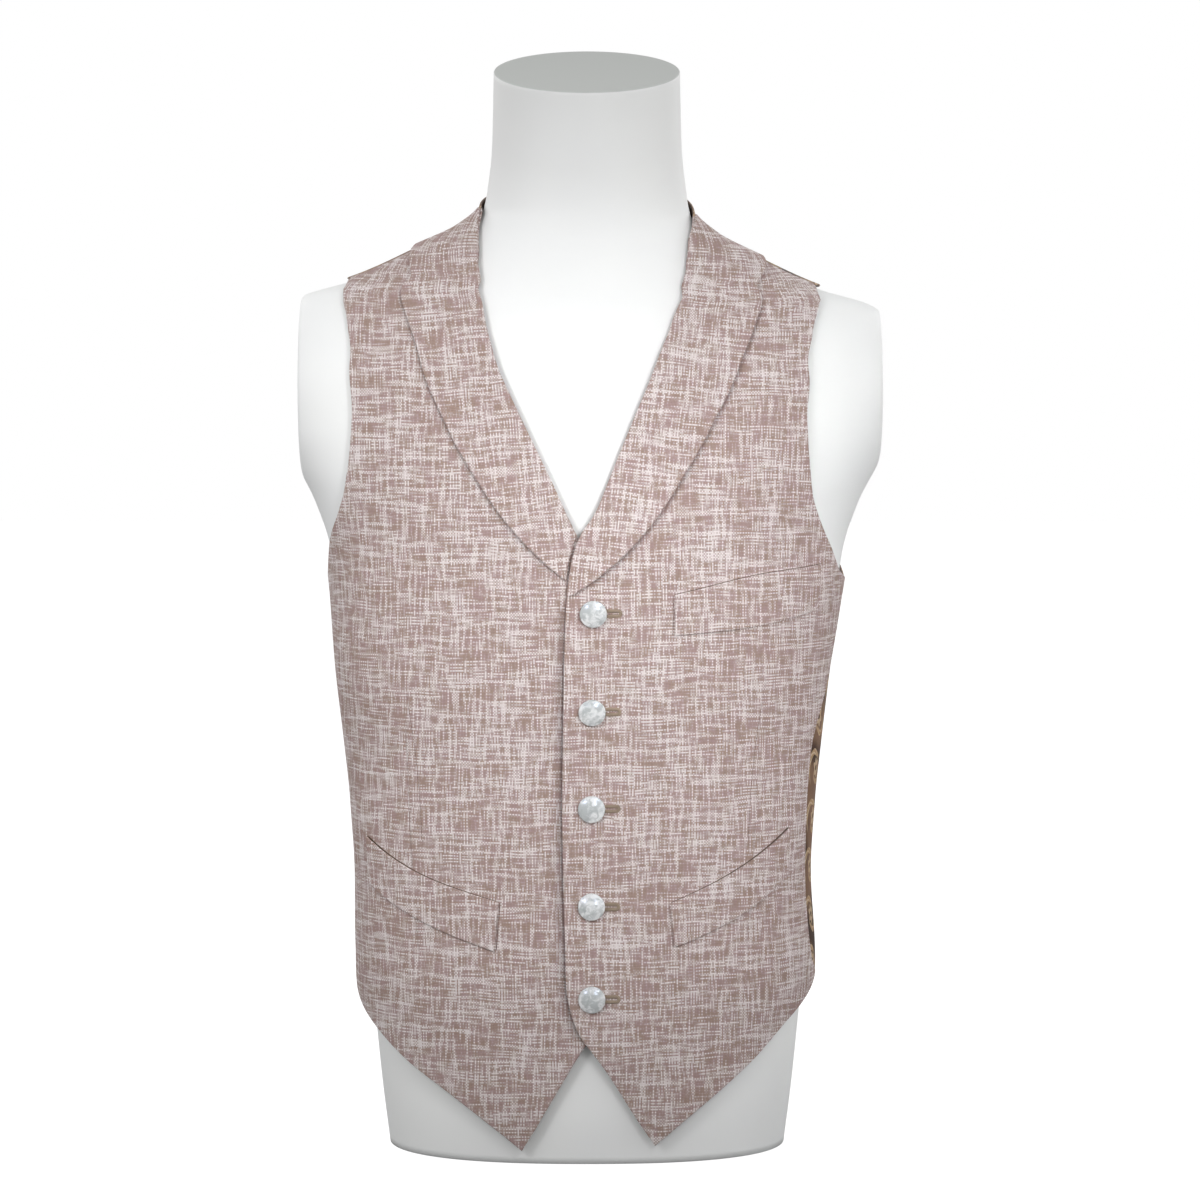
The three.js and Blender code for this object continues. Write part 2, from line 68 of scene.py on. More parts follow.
# Studio
# A wide pale floor in a white room. Floor and room show overexposed, as in the photograph, and light the form
# more softly. Three gridded boxes in front light the chest, one box lights the wearer's left side, and two
# boxes behind the shoulders fill the back.
class Value:
    """A socket of a material's node tree, so that shader maths reads as Python sums."""

    def __init__(self, tree, socket):
        self.tree = tree
        self.socket = socket

    def math(self, operation, *others):
        return node(self.tree, "ShaderNodeMath", {"operation": operation}, dict(enumerate((self,) + others)))

    def __add__(self, other):
        return self.math("ADD", other)

    def __sub__(self, other):
        return self.math("SUBTRACT", other)

    def __mul__(self, other):
        return self.math("MULTIPLY", other)

    def __truediv__(self, other):
        return self.math("DIVIDE", other)

    def __rsub__(self, other):
        return node(self.tree, "ShaderNodeMath", {"operation": "SUBTRACT"}, {0: other, 1: self})

    __radd__ = __add__
    __rmul__ = __mul__

    def floor(self):
        return self.math("FLOOR")

    def fract(self):
        return self.math("FRACT")

    def sine(self):
        return self.math("SINE")

    def size(self):
        return self.math("ABSOLUTE")

    def least(self, other):
        return self.math("MINIMUM", other)

    def most(self, other):
        return self.math("MAXIMUM", other)

    def ramp(self, low, high):
        """0 below low, 1 above high and a smooth step between them. Low may be the larger."""
        ends = {"Value": self, "From Min": low, "From Max": high}
        return node(self.tree, "ShaderNodeMapRange", {"interpolation_type": "SMOOTHSTEP"}, ends)


def node(tree, kind, settings, values, output=0):
    """Adds one node: its settings first, then the values or links of its sockets, and returns an output."""
    made = tree.nodes.new(kind)
    for name, setting in settings.items():
        setattr(made, name, setting)
    for name, value in values.items():
        if isinstance(value, Value):
            tree.links.new(value.socket, made.inputs[name])
        else:
            made.inputs[name].default_value = value
    return Value(tree, made.outputs[output])


def new_material(name):
    """An empty material and its shader and output nodes."""
    material = bpy.data.materials.new(name)
    material.use_nodes = True
    tree = material.node_tree
    return material, tree, tree.nodes["Principled BSDF"], tree.nodes["Material Output"]


def noise(tree, place, scale, detail=2.0, roughness=0.5, dimensions="3D"):
    """Perlin noise from about 0 to 1 at a place."""
    values = {"Vector": place, "Scale": scale, "Detail": detail, "Roughness": roughness}
    return node(tree, "ShaderNodeTexNoise", {"noise_dimensions": dimensions}, values)


def vector(tree, x, y, z=0.0):
    return node(tree, "ShaderNodeCombineXYZ", {}, {0: x, 1: y, 2: z})


def mix_colour(tree, share, first, second):
    values = {0: share, 6: first, 7: second}
    return node(tree, "ShaderNodeMix", {"data_type": "RGBA"}, values, output=2)


def bump(tree, height, distance, strength=1.0):
    values = {"Height": height, "Distance": distance, "Strength": strength}
    return node(tree, "ShaderNodeBump", {}, values)


def linear(red, green, blue):
    """A colour in sRGB steps of 255, as the linear colour of a shader's socket."""
    steps = np.array([red, green, blue]) / 255
    light = np.where(steps <= 0.04045, steps / 12.92, ((steps + 0.055) / 1.055) ** 2.4)
    return (*light.tolist(), 1.0)


def mesh_object(name, points, faces, materials, smooth=True, face_slots=None):
    """A mesh from points in millimetres and an array of faces with equally many corners."""
    mesh = bpy.data.meshes.new(name)
    mesh.from_pydata((points * MM).tolist(), [], faces.tolist())
    mesh.validate()
    mesh.update()
    mesh.polygons.foreach_set("use_smooth", np.full(len(mesh.polygons), smooth))
    if face_slots is not None:
        mesh.polygons.foreach_set("material_index", face_slots)
    for material in materials:
        mesh.materials.append(material)
    made = bpy.data.objects.new(name, mesh)
    bpy.context.scene.collection.objects.link(made)
    return made


FLOOR_HALF = 9000.0
floor_corners = np.array([[-1, -1, 0], [1, -1, 0], [1, 1, 0], [-1, 1, 0]]) * FLOOR_HALF
floor_material, floor_tree, floor_shader, _out = new_material("floor")
seen = node(floor_tree, "ShaderNodeLightPath", {}, {})
floor_glow = mix_colour(floor_tree, seen, (0.0, 0.0, 0.0, 1.0), (1.0, 1.0, 1.0, 1.0))
floor_tree.links.new(floor_glow.socket, floor_shader.inputs["Emission Color"])
floor_shader.inputs["Emission Strength"].default_value = 0.88
floor_shader.inputs["Base Color"].default_value = (0.36, 0.36, 0.36, 1.0)
floor_shader.inputs["Roughness"].default_value = 0.9
floor_shader.inputs["Specular IOR Level"].default_value = 0.0
mesh_object("floor", floor_corners, np.array([[0, 1, 2, 3]]), [floor_material])

ROOM_LIGHT = 0.58
world = bpy.data.worlds.new("white_room")
world.use_nodes = True
room_tree = world.node_tree
room_seen = node(room_tree, "ShaderNodeLightPath", {}, {})
room_level = (ROOM_LIGHT, ROOM_LIGHT, ROOM_LIGHT, 1.0)
room_colour = mix_colour(room_tree, room_seen, room_level, (1.0, 1.0, 1.0, 1.0))
room_tree.links.new(room_colour.socket, room_tree.nodes["Background"].inputs["Color"])
bpy.context.scene.world = world


def soft_box(name, place, aim, width, height, power, spread):
    """A rectangular area light at a place in metres, turned towards another place, with a grid on it."""
    data = bpy.data.lights.new(name, "AREA")
    data.shape = "RECTANGLE"
    data.size = width
    data.size_y = height
    data.energy = power
    data.spread = np.radians(spread)
    light = bpy.data.objects.new(name, data)
    bpy.context.scene.collection.objects.link(light)
    away = np.array(place) - np.array(aim)
    away = away / np.linalg.norm(away)
    side = np.cross([0.0, 0.0, 1.0], away)
    side = side / np.linalg.norm(side)
    rows = np.stack([side, np.cross(away, side), away], 1)
    turned = Matrix(rows.tolist()).to_4x4()
    turned.translation = place
    light.matrix_world = turned


soft_box("key_box", (0.5, -1.4, 1.0), (0.0, 0.0, 0.4), 0.3, 0.3, 0.27, 40.0)
soft_box("low_box", (0.5, -1.45, 0.66), (0.02, 0.0, 0.36), 0.3, 0.3, 0.18, 24.0)
soft_box("left_box", (-0.8, -1.25, 0.95), (-0.06, 0.0, 0.38), 0.4, 0.4, 0.52, 40.0)
soft_box("side_box", (1.5, -0.35, 0.6), (0.0, 0.0, 0.4), 0.8, 0.8, 2.6, 180.0)
soft_box("back_box_left", (1.5, 1.6, 1.5), (0.0, 0.0, 0.4), 1.2, 1.2, 10.0, 180.0)
soft_box("back_box_right", (-1.5, 1.6, 1.5), (0.0, 0.0, 0.4), 1.2, 1.2, 10.0, 180.0)

# Dress form
# A man's torso form without head or limbs, moulded in fibreglass and sprayed matt white. Its neck ends in a
# cap that tips forward, painted grey for the shade on its top, its shoulders in flat plates, and it stands on
# its flat base.
SECTION_NAMES = ["height", "half", "front", "back", "middle", "square", "drop", "nod", "ease"]
SECTION_ROWS = [
    [0, 143, 88, 98, 6, 2.4, 0, 0, 7],
    [40, 148, 92, 103, 6, 2.4, 0, 0, 7],
    [90, 153, 93, 104, 5, 2.35, 0, 0, 6.5],
    [130, 156.5, 93.5, 100, 4, 2.35, 0, 0, 6],
    [160, 156, 91, 93, 3, 2.3, 0, 0, 7],
    [200, 155, 88, 84, 1, 2.3, 0, 0, 8],
    [250, 157, 88.5, 78, -1, 2.3, 0, 0, 9],
    [290, 162, 92, 80, -2, 2.3, 0, 0, 8],
    [330, 168, 99, 87, -2, 2.35, 0, 0, 6.5],
    [370, 174, 105, 96, -2, 2.4, 0, 0, 5],
    [405, 179.5, 109.5, 102, -2, 2.45, 0, 0, 3.5],
    [430, 183.5, 111, 106, -1, 2.45, 0, 0, 3],
    [465, 195, 110.5, 109, 0, 2.5, 0, 0, 2.8],
    [490, 208, 107.5, 110, 1, 2.5, 0.5, 0, 3],
    [515, 220, 103.5, 111, 2, 2.5, 1.5, 0, 3.2],
    [550, 229, 95.5, 110, 3, 2.5, 3, 0, 3.4],
    [580, 226, 85.5, 106, 5, 2.4, 3.5, 0, 2],
    [598, 217, 76, 101, 7, 2.3, 3.5, 0, 2],
    [608, 202, 70, 97, 8, 2.25, 3.5, 0, 2],
    [618, 168, 65, 92, 9, 2.2, 3.5, 0, 2],
    [639, 121, 55, 84, 10, 2.1, 3.5, 0, 2],
    [653, 93, 50.5, 80, 11, 2.05, 3, 0, 2],
    [670, 74.5, 49, 76, 12, 2, 2.5, 0, 2],
    [688, 71, 50, 75, 12, 2, 1, 20, 2.2],
    [716, 68, 53, 72, 10, 2, 0, 125, 2.2],
    [772, 66.5, 57, 67, 6, 2, 0, 307, 2.2],
]
DROP_WIDTH = 60.0
RIGHT_STUB = 203.5
LEFT_STUB = 209.0
STUB_ROUND = 2.5


def curve(rows, column, key=0):
    """A smooth curve through a column of a table, which never swings past its rows (monotone cubic)."""
    table = np.array(rows, float)
    xs, ys = table[:, key], table[:, column]
    widths = np.diff(xs)
    slopes = np.diff(ys) / widths
    tangents = np.zeros_like(ys)
    tangents[0], tangents[-1] = slopes[0], slopes[-1]
    before, after = slopes[:-1], slopes[1:]
    heavy = 2 * widths[1:] + widths[:-1]
    light = widths[1:] + 2 * widths[:-1]
    same_way = before * after > 0
    safe_before = np.where(same_way, before, 1)
    safe_after = np.where(same_way, after, 1)
    tangents[1:-1] = np.where(same_way, (heavy + light) / (heavy / safe_before + light / safe_after), 0)

    def at(x):
        x = np.clip(np.asarray(x, float), xs[0], xs[-1])
        i = np.clip(np.searchsorted(xs, x, side="right") - 1, 0, len(widths) - 1)
        t = (x - xs[i]) / widths[i]
        rest = 1 - t
        start = ys[i] * (1 + 2 * t) * rest**2 + widths[i] * tangents[i] * t * rest**2
        return start + ys[i + 1] * t**2 * (3 - 2 * t) + widths[i] * tangents[i + 1] * t**2 * (t - 1)

    return at


section = {name: curve(SECTION_ROWS, i) for i, name in enumerate(SECTION_NAMES) if i}


def signed_power(x, power):
    return np.sign(x) * np.abs(x) ** power


def skin(turn, height):
    """The form's skin: each level section is a superellipse, half wide, with its own depth front and back."""
    power = 2 / section["square"](height)
    sine, cosine = np.sin(np.radians(turn)), np.cos(np.radians(turn))
    middle = section["middle"](height)
    depth = np.where(cosine > 0, middle + section["front"](height), section["back"](height) - middle)
    x = section["half"](height) * signed_power(sine, power)
    y = middle - depth * signed_power(cosine, power)
    dropped = section["drop"](height) * x / np.hypot(x, DROP_WIDTH)
    z = height - dropped + section["nod"](height) / 1000 * (y - middle)
    return np.stack(np.broadcast_arrays(x, y, z), -1)


def outward(turn, height):
    """The outward direction of the skin, from the cross product of small steps across and up it."""
    small = 0.05
    across = skin(turn + small, height) - skin(turn - small, height)
    up = skin(turn, height + small) - skin(turn, height - small)
    away = np.cross(across, up)
    return away / np.linalg.norm(away, axis=-1, keepdims=True)


def soft_limit(x, limit, radius):
    """The smaller of x and limit, with the corner between them rounded."""
    h = np.clip(0.5 + 0.5 * (limit - x) / radius, 0, 1)
    return limit * (1 - h) + x * h - radius * h * (1 - h)


def ring_faces(rows, count):
    """Quads between rings of count points each."""
    j, i = np.meshgrid(np.arange(rows - 1), np.arange(count), indexing="ij")
    nxt = (i + 1) % count
    corners = [j * count + i, j * count + nxt, (j + 1) * count + nxt, (j + 1) * count + i]
    return np.stack(corners, -1).reshape(-1, 4)


FORM_SIDES = 360
FORM_LEVELS = [(0, 470, 96), (473, 620, 74), (621.5, 690, 46), (693, 770, 26)]
form_heights = np.concatenate([np.linspace(low, high, count) for low, high, count in FORM_LEVELS])
CLOSING_SHARES = [0.985, 0.93, 0.75, 0.5, 0.25, 0.02]
CAP_RISE = [0, 0, 0.9]
LIP_SHARE = 0.994
LIP_RISE = [0, 0, 0.6]


def form_points():
    """The skin's rings, limited at the flat stubs, with the base and the cap closed by shrinking rings."""
    turns = np.linspace(-180, 180, FORM_SIDES, endpoint=False)
    t, h = np.meshgrid(turns, form_heights)
    rings = skin(t, h)
    rings[..., 0] = soft_limit(rings[..., 0], LEFT_STUB, STUB_ROUND)
    rings[..., 0] = -soft_limit(-rings[..., 0], RIGHT_STUB, STUB_ROUND)
    low, high = rings[0], rings[-1]
    base = [low.mean(0) + (low - low.mean(0)) * share for share in reversed(CLOSING_SHARES)]
    cap = [high.mean(0) + (high - high.mean(0)) * share for share in CLOSING_SHARES]
    cap_lip = high.mean(0) + (high - high.mean(0)) * LIP_SHARE + LIP_RISE
    return np.concatenate([np.array(base), rings, cap_lip[None], np.array(cap) + CAP_RISE])


form_material, form_tree, form_shader, _out = new_material("form_white")
form_place = node(form_tree, "ShaderNodeTexCoord", {}, {}, output=3)
form_cloud = noise(form_tree, form_place, 9.0, 3.0)
form_grain = noise(form_tree, form_place, 900.0, 2.0)
FORM_WHITE = linear(249, 250, 249)
FORM_SHADE = linear(246, 247, 247)
CAP_PAINTED_SHADE = linear(204, 207, 204)
form_part = node(form_tree, "ShaderNodeAttribute", {"attribute_name": "cap"}, {}, output=2)
form_colour = mix_colour(form_tree, form_cloud.ramp(0.35, 0.7), FORM_WHITE, FORM_SHADE)
# Painted shade: the cap is coloured grey for the shade that falls on the top of the neck.
form_colour = mix_colour(form_tree, form_part, form_colour, CAP_PAINTED_SHADE)
form_tree.links.new(form_colour.socket, form_shader.inputs["Base Color"])
form_rough = form_grain * 0.12 + 0.5
form_tree.links.new(form_rough.socket, form_shader.inputs["Roughness"])
form_tree.links.new(bump(form_tree, form_grain, 0.00006, 0.5).socket, form_shader.inputs["Normal"])

rings = form_points()
form_faces = ring_faces(len(rings), FORM_SIDES)
ends = np.array([rings[0].mean(0), rings[-1].mean(0)])
form_vertices = np.concatenate([rings.reshape(-1, 3), ends])
around = np.arange(FORM_SIDES)
after = (around + 1) % FORM_SIDES
last_ring = (len(rings) - 1) * FORM_SIDES
first_end = len(rings) * FORM_SIDES
base_faces = np.stack([after, around, np.full(FORM_SIDES, first_end)], 1)
cap_faces = np.stack([last_ring + around, last_ring + after, np.full(FORM_SIDES, first_end + 1)], 1)
form_mesh = bpy.data.meshes.new("form_shell")
form_mesh.from_pydata(
    (form_vertices * MM).tolist(), [], form_faces.tolist() + base_faces.tolist() + cap_faces.tolist()
)
form_mesh.update()
form_mesh.polygons.foreach_set("use_smooth", np.full(len(form_mesh.polygons), True))
form_mesh.materials.append(form_material)
on_cap = np.zeros(len(form_vertices))
cap_rings = len(CLOSING_SHARES) + 1
on_cap[(len(rings) - cap_rings) * FORM_SIDES : first_end] = 1
on_cap[-1] = 1
form_mesh.attributes.new("cap", "FLOAT", "POINT").data.foreach_set("value", on_cap)
form_shell = bpy.data.objects.new("form_shell", form_mesh)
bpy.context.scene.collection.objects.link(form_shell)
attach(form_shell, "root")
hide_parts("dress_form")

# Suiting
# A plain-woven linen-look cloth: dusty rose-brown yarn with uneven off-white slubs in both warp and weft. The
# threads follow the cut of each panel, through its map of real widths and lengths.
WARP_SPACING = 0.00098
WEFT_SPACING = 0.00106
WEFT_SLUB = 0.034
WARP_SLUB = 0.026
# The colour of the painted shade between the threads.
GAP_PAINTED_SHADE = linear(104, 86, 82)
# The colour of the painted shade beside raised edges.
PAINTED_EDGE_SHADE = linear(84, 66, 66)
YARN_ROSE = linear(183, 156, 153)
YARN_TAUPE = linear(176, 151, 140)
SLUB_PALE = linear(249, 243, 243)


def slub_threads(tree, along, index, seed):
    """How pale each thread is: noise drawn out along it, its own and a share that its neighbours have too."""
    own = noise(tree, vector(tree, along, index * 7.31 + seed), 1.0, 2.0, 0.6, "2D")
    shared = vector(tree, along + seed, index * 0.16)
    cluster = noise(tree, shared, 1.0, 2.0, 0.5, "2D")
    return (own + cluster * 0.16).ramp(0.54, 0.72)


def thread_round(turns):
    """The round of a thread: 1 in its middle and 0 between two threads."""
    inside = turns.fract()
    return inside * (1 - inside) * 4.0


def suiting(name, darts=()):
    material, tree, shader, _ = new_material(name)
    grain = node(tree, "ShaderNodeUVMap", {"uv_map": "grain"}, {})
    parts = tree.nodes.new("ShaderNodeSeparateXYZ")
    tree.links.new(grain.socket, parts.inputs[0])
    flat_u, flat_v = Value(tree, parts.outputs[0]), Value(tree, parts.outputs[1])
    sway = {"noise_dimensions": "2D"}
    sway_at = {"Vector": grain, "Scale": 22.0, "Detail": 1.0}
    u = flat_u + (node(tree, "ShaderNodeTexNoise", sway, sway_at) - 0.5) * 0.002
    sway_at = {"Vector": vector(tree, flat_u + 3.0, flat_v), "Scale": 30.0, "Detail": 1.0}
    v = flat_v + (node(tree, "ShaderNodeTexNoise", sway, sway_at) - 0.5) * 0.003
    ends, picks = u * (1 / WARP_SPACING), v * (1 / WEFT_SPACING)
    weft = slub_threads(tree, u * (1 / WEFT_SLUB), picks.floor(), 3.7)
    warp = slub_threads(tree, v * (1 / WARP_SLUB), ends.floor(), 41.3)
    over = ((ends.floor() + picks.floor()) * 0.5).fract() * 2.0
    pale = warp * over + weft * (1 - over)
    pale = pale * 0.74 + warp.most(weft) * 0.22
    tone = noise(tree, vector(tree, u * 90.0, v * 90.0), 1.0, 3.0, 0.6, "2D")
    ground = mix_colour(tree, tone.ramp(0.35, 0.65), YARN_ROSE, YARN_TAUPE)
    # Painted shade between the threads and where each thread rounds down; the same relief also feeds the
    # bump.
    profile = thread_round(picks) * (1 - over) + thread_round(ends) * over
    crossing = thread_round(ends) * (1 - over) + thread_round(picks) * over
    body = profile.math("SQRT") * (crossing * 0.6 + 0.4)
    ground = mix_colour(tree, body.ramp(0.0, 0.75), GAP_PAINTED_SHADE, ground)
    colour = mix_colour(tree, pale * (body * 0.42 + 0.5), ground, SLUB_PALE)
    # Painted shade: the colour darkens towards a deeper tone beside raised edges, as far as the shade
    # attribute says.
    shade = node(tree, "ShaderNodeAttribute", {"attribute_name": "shade"}, {}, output=2)
    colour = mix_colour(tree, shade, colour, PAINTED_EDGE_SHADE)
    tree.links.new(colour.socket, shader.inputs["Base Color"])
    shader.inputs["Roughness"].default_value = 0.88
    shader.inputs["Specular IOR Level"].default_value = 0.15
    shader.inputs["Sheen Weight"].default_value = 0.06
    shader.inputs["Sheen Roughness"].default_value = 0.5
    height = body + pale * 0.5
    for start_v, end_v, start_u, end_u in darts:
        line = start_u + (flat_v - start_v) * ((end_u - start_u) / (end_v - start_v))
        near = (flat_u - line).size().ramp(0.0014, 0.0)
        reach = flat_v.ramp(start_v - 0.001, start_v + 0.002) * flat_v.ramp(end_v + 0.01, end_v - 0.02)
        height = height - near * reach * 3.0
    tree.links.new(bump(tree, height, 0.0003, 0.8).socket, shader.inputs["Normal"])
    return material


lining_material, lining_tree, lining_shader, _out = new_material("lining")
lining_place = node(lining_tree, "ShaderNodeTexCoord", {}, {}, output=3)
lining_tone = noise(lining_tree, lining_place, 60.0, 3.0)
lining_colour = mix_colour(lining_tree, lining_tone.ramp(0.3, 0.7), linear(84, 64, 52), linear(104, 82, 67))
lining_tree.links.new(lining_colour.socket, lining_shader.inputs["Base Color"])
lining_shader.inputs["Roughness"].default_value = 0.42

# Fronts
# Two fronts of the suiting, faced and lined, cut in one from the pointed hem to the shoulder, each with a
# long dart from the chest to under the pocket. The wearer's left front closes over the right one.
FRONT_WALL = 2.0
BACK_WALL = 1.6
OVERLAP_LIFT = 0.6
BREAK = 0.565
HANG = 3.0
# The largest soft folds: middle turn, middle height, reach round, reach up and depth. Below 0 is a swell.
FOLD_ROWS = [
    [-62, 280, 15, 36, 2.6],
    [52, 282, 12, 44, 2.2],
    [-70, 396, 12, 26, 1.4],
    [150, 262, 16, 60, 2.4],
    [-150, 256, 16, 64, 2.4],
    [118, 330, 12, 46, 1.6],
    [-122, 318, 12, 50, 1.6],
    [85, 130, 28, 42, -4.2],
]


def smoothstep(low, high, x):
    t = np.clip((x - low) / (high - low), 0, 1)
    return t * t * (3 - 2 * t)


def cloth_point(turn, height, out):
    """A point of the cloth: the skin, moved out by the ease, the soft folds and the distance asked for."""
    off = section["ease"](height) - HANG * np.sin(np.radians(turn)) * (1 - smoothstep(330, 430, height)) + out
    for middle_turn, middle_height, reach_turn, reach_height, depth in FOLD_ROWS:
        across, up = (turn - middle_turn) / reach_turn, (height - middle_height) / reach_height
        off = off - depth * np.exp(-(across**2) - up**2)
    return skin(turn, height) + outward(turn, height) * off[..., None]


def overlap_lift(turn, height):
    """The left front lies over the right one, raised until past the right one's edge."""
    beside = 1 - smoothstep(9, 18, turn)
    above = smoothstep(50, 80, height) * (1 - smoothstep(450, 495, height))
    return (FRONT_WALL + OVERLAP_LIFT) * beside * above


def no_lift(turn, height):
    return np.zeros_like(turn)


# Each row of an outline: how far along it, its turn and its height.
LEFT_EDGE = [
    [0, 15, 15], [0.04, 9, 39], [0.09, 3, 70], [0.12, 0, 87], [0.16, -2.6, 112], [0.19, -3.4, 131],
    [0.35, -4.3, 246], [0.5, -3.2, 357], [BREAK, -2.4, 403], [0.6, -1.6, 428], [0.66, 1.4, 469],
    [0.73, 4.1, 510], [0.8, 8.2, 562], [0.84, 11.4, 586], [0.86, 14, 600], [0.88, 19, 614],
    [0.905, 26.3, 627], [0.93, 32.5, 637], [0.965, 48, 652], [1, 76, 668],
]
RIGHT_EDGE = [
    [0, 14, 12], [0.04, 9, 34], [0.09, 3.5, 64], [0.12, 0, 87], [0.16, -3, 110], [0.19, -4, 129],
    [0.35, -5.1, 246], [0.5, -4.2, 357], [BREAK, -3, 398], [0.6, -0.6, 426], [0.66, 2.8, 468],
    [0.73, 6.5, 510], [0.8, 11, 556], [0.84, 14.6, 587], [0.86, 16.9, 601], [0.88, 21.2, 613],
    [0.905, 29.3, 627], [0.93, 35.5, 637], [0.965, 53, 653], [1, 76, 670],
]
LEFT_SIDE = [
    [0, 86, 124], [0.025, 77, 138], [0.08, 74.6, 163], [0.15, 74, 203], [0.235, 72.2, 245], [0.325, 71, 290],
    [0.36, 72.5, 305], [0.39, 76, 320], [0.42, 80.5, 336], [0.47, 85, 366], [BREAK, 88, 409],
]
RIGHT_SIDE = [[0, 91, 122], [0.15, 90, 200], [0.325, 90, 288], [BREAK, 91, 407]]
LEFT_ARMHOLE = [
    [BREAK, 88, 409], [0.63, 74, 416], [0.66, 64, 434], [0.7, 55, 452], [0.74, 48, 471], [0.78, 43, 492],
    [0.82, 39.5, 513], [0.86, 37.5, 538], [0.9, 37.7, 562], [0.93, 40.5, 583], [0.96, 46, 600],
    [0.98, 56, 611], [1, 76, 619],
]
RIGHT_ARMHOLE = [
    [BREAK, 91, 407], [0.62, 83, 416], [0.66, 72, 438], [0.7, 60, 459], [0.74, 52, 478], [0.78, 46.5, 497],
    [0.82, 43, 516], [0.86, 41, 540], [0.9, 41.5, 563], [0.93, 44.5, 585], [0.96, 51, 602],
    [0.98, 60, 611], [1, 77, 617],
]
LEFT_HEM = [
    [0, 15, 15], [0.1, 21, 28], [0.3, 34, 52], [0.5, 47, 73], [0.7, 60, 94], [0.85, 70, 106], [1, 86, 124],
]
RIGHT_HEM = [
    [0, 14, 12], [0.1, 20, 25], [0.3, 35, 51], [0.5, 50, 71], [0.7, 65, 91], [0.85, 77, 105], [1, 91, 122],
]
LEFT_SHOULDER = [[0, 76, 668], [0.5, 75, 644], [1, 76, 619]]
RIGHT_SHOULDER = [[0, 76, 670], [0.5, 76, 644], [1, 77, 617]]


def route(rows):
    """Turn and height along a table, as one array."""
    turn, height = curve(rows, 1), curve(rows, 2)
    return lambda t: np.stack([turn(t), height(t)], -1)


def cornered(before, corner, after_corner):
    """One route up to a corner and another after it."""
    return lambda t: np.where((np.asarray(t) <= corner)[..., None], before(t), after_corner(t))


def patch(centre, side, bottom, top):
    """A Coons patch: the two ruled surfaces between facing edges, less the one between the corners."""

    def at(u, v):
        uu, vv = u[..., None], v[..., None]
        ruled = (1 - uu) * centre(v) + uu * side(v) + (1 - vv) * bottom(u) + vv * top(u)
        low = (1 - uu) * centre(np.zeros(1)) + uu * side(np.zeros(1))
        high = (1 - uu) * centre(np.ones(1)) + uu * side(np.ones(1))
        return ruled - (1 - vv) * low - vv * high

    return at


def edge_steps(count, length, roll):
    """Steps from 0 to 1 with a few close ones at both ends, so that an edge can be rolled."""
    near = np.array([0.0, 0.04, 0.15, 0.35, 0.65, 1.0]) * roll / length
    return np.concatenate([near, np.linspace(near[-1], 1 - near[-1], count)[1:-1], 1 - near[::-1]])


def grain_height(height):
    """Length up the front of the cloth over the chest, which leans back above it."""
    levels = np.linspace(0, 700, 141)
    lean = np.gradient(section["front"](levels), levels)
    rise = np.concatenate([[0], np.cumsum(np.hypot(1, lean)[1:] * np.diff(levels))])
    return np.interp(height, levels, rise)


def grain_width(turn, height):
    """Length round the level section from centre front, from a table of sections."""
    turns = np.linspace(0, 180, 181)
    levels = np.linspace(0, 700, 71)
    grid_turn, grid_height = np.meshgrid(turns, levels)
    rows = skin(grid_turn, grid_height)[..., :2]
    steps = np.linalg.norm(np.diff(rows, axis=1), axis=2)
    lengths = np.concatenate([np.zeros((len(levels), 1)), np.cumsum(steps, 1)], 1)
    row = np.clip(height / 10, 0, len(levels) - 1.001)
    col = np.clip(np.abs(turn), 0, 179.999)
    j, i = row.astype(int), col.astype(int)
    a, b = row - j, col - i
    low = lengths[j, i] * (1 - b) + lengths[j, i + 1] * b
    high = lengths[j + 1, i] * (1 - b) + lengths[j + 1, i + 1] * b
    return np.sign(turn) * (low * (1 - a) + high * a)


def lengths_from_edges(points):
    """How far each point of a grid is from each pair of facing edges, along the grid's own lines."""
    near = []
    for axis in (0, 1):
        steps = np.linalg.norm(np.diff(points, axis=axis), axis=2)
        start = [np.zeros_like(np.take(steps, [0], axis)), np.cumsum(steps, axis)]
        far = np.concatenate(start, axis)
        near.append(np.minimum(far, np.take(far, [-1], axis) - far))
    return np.minimum(near[0], near[1])


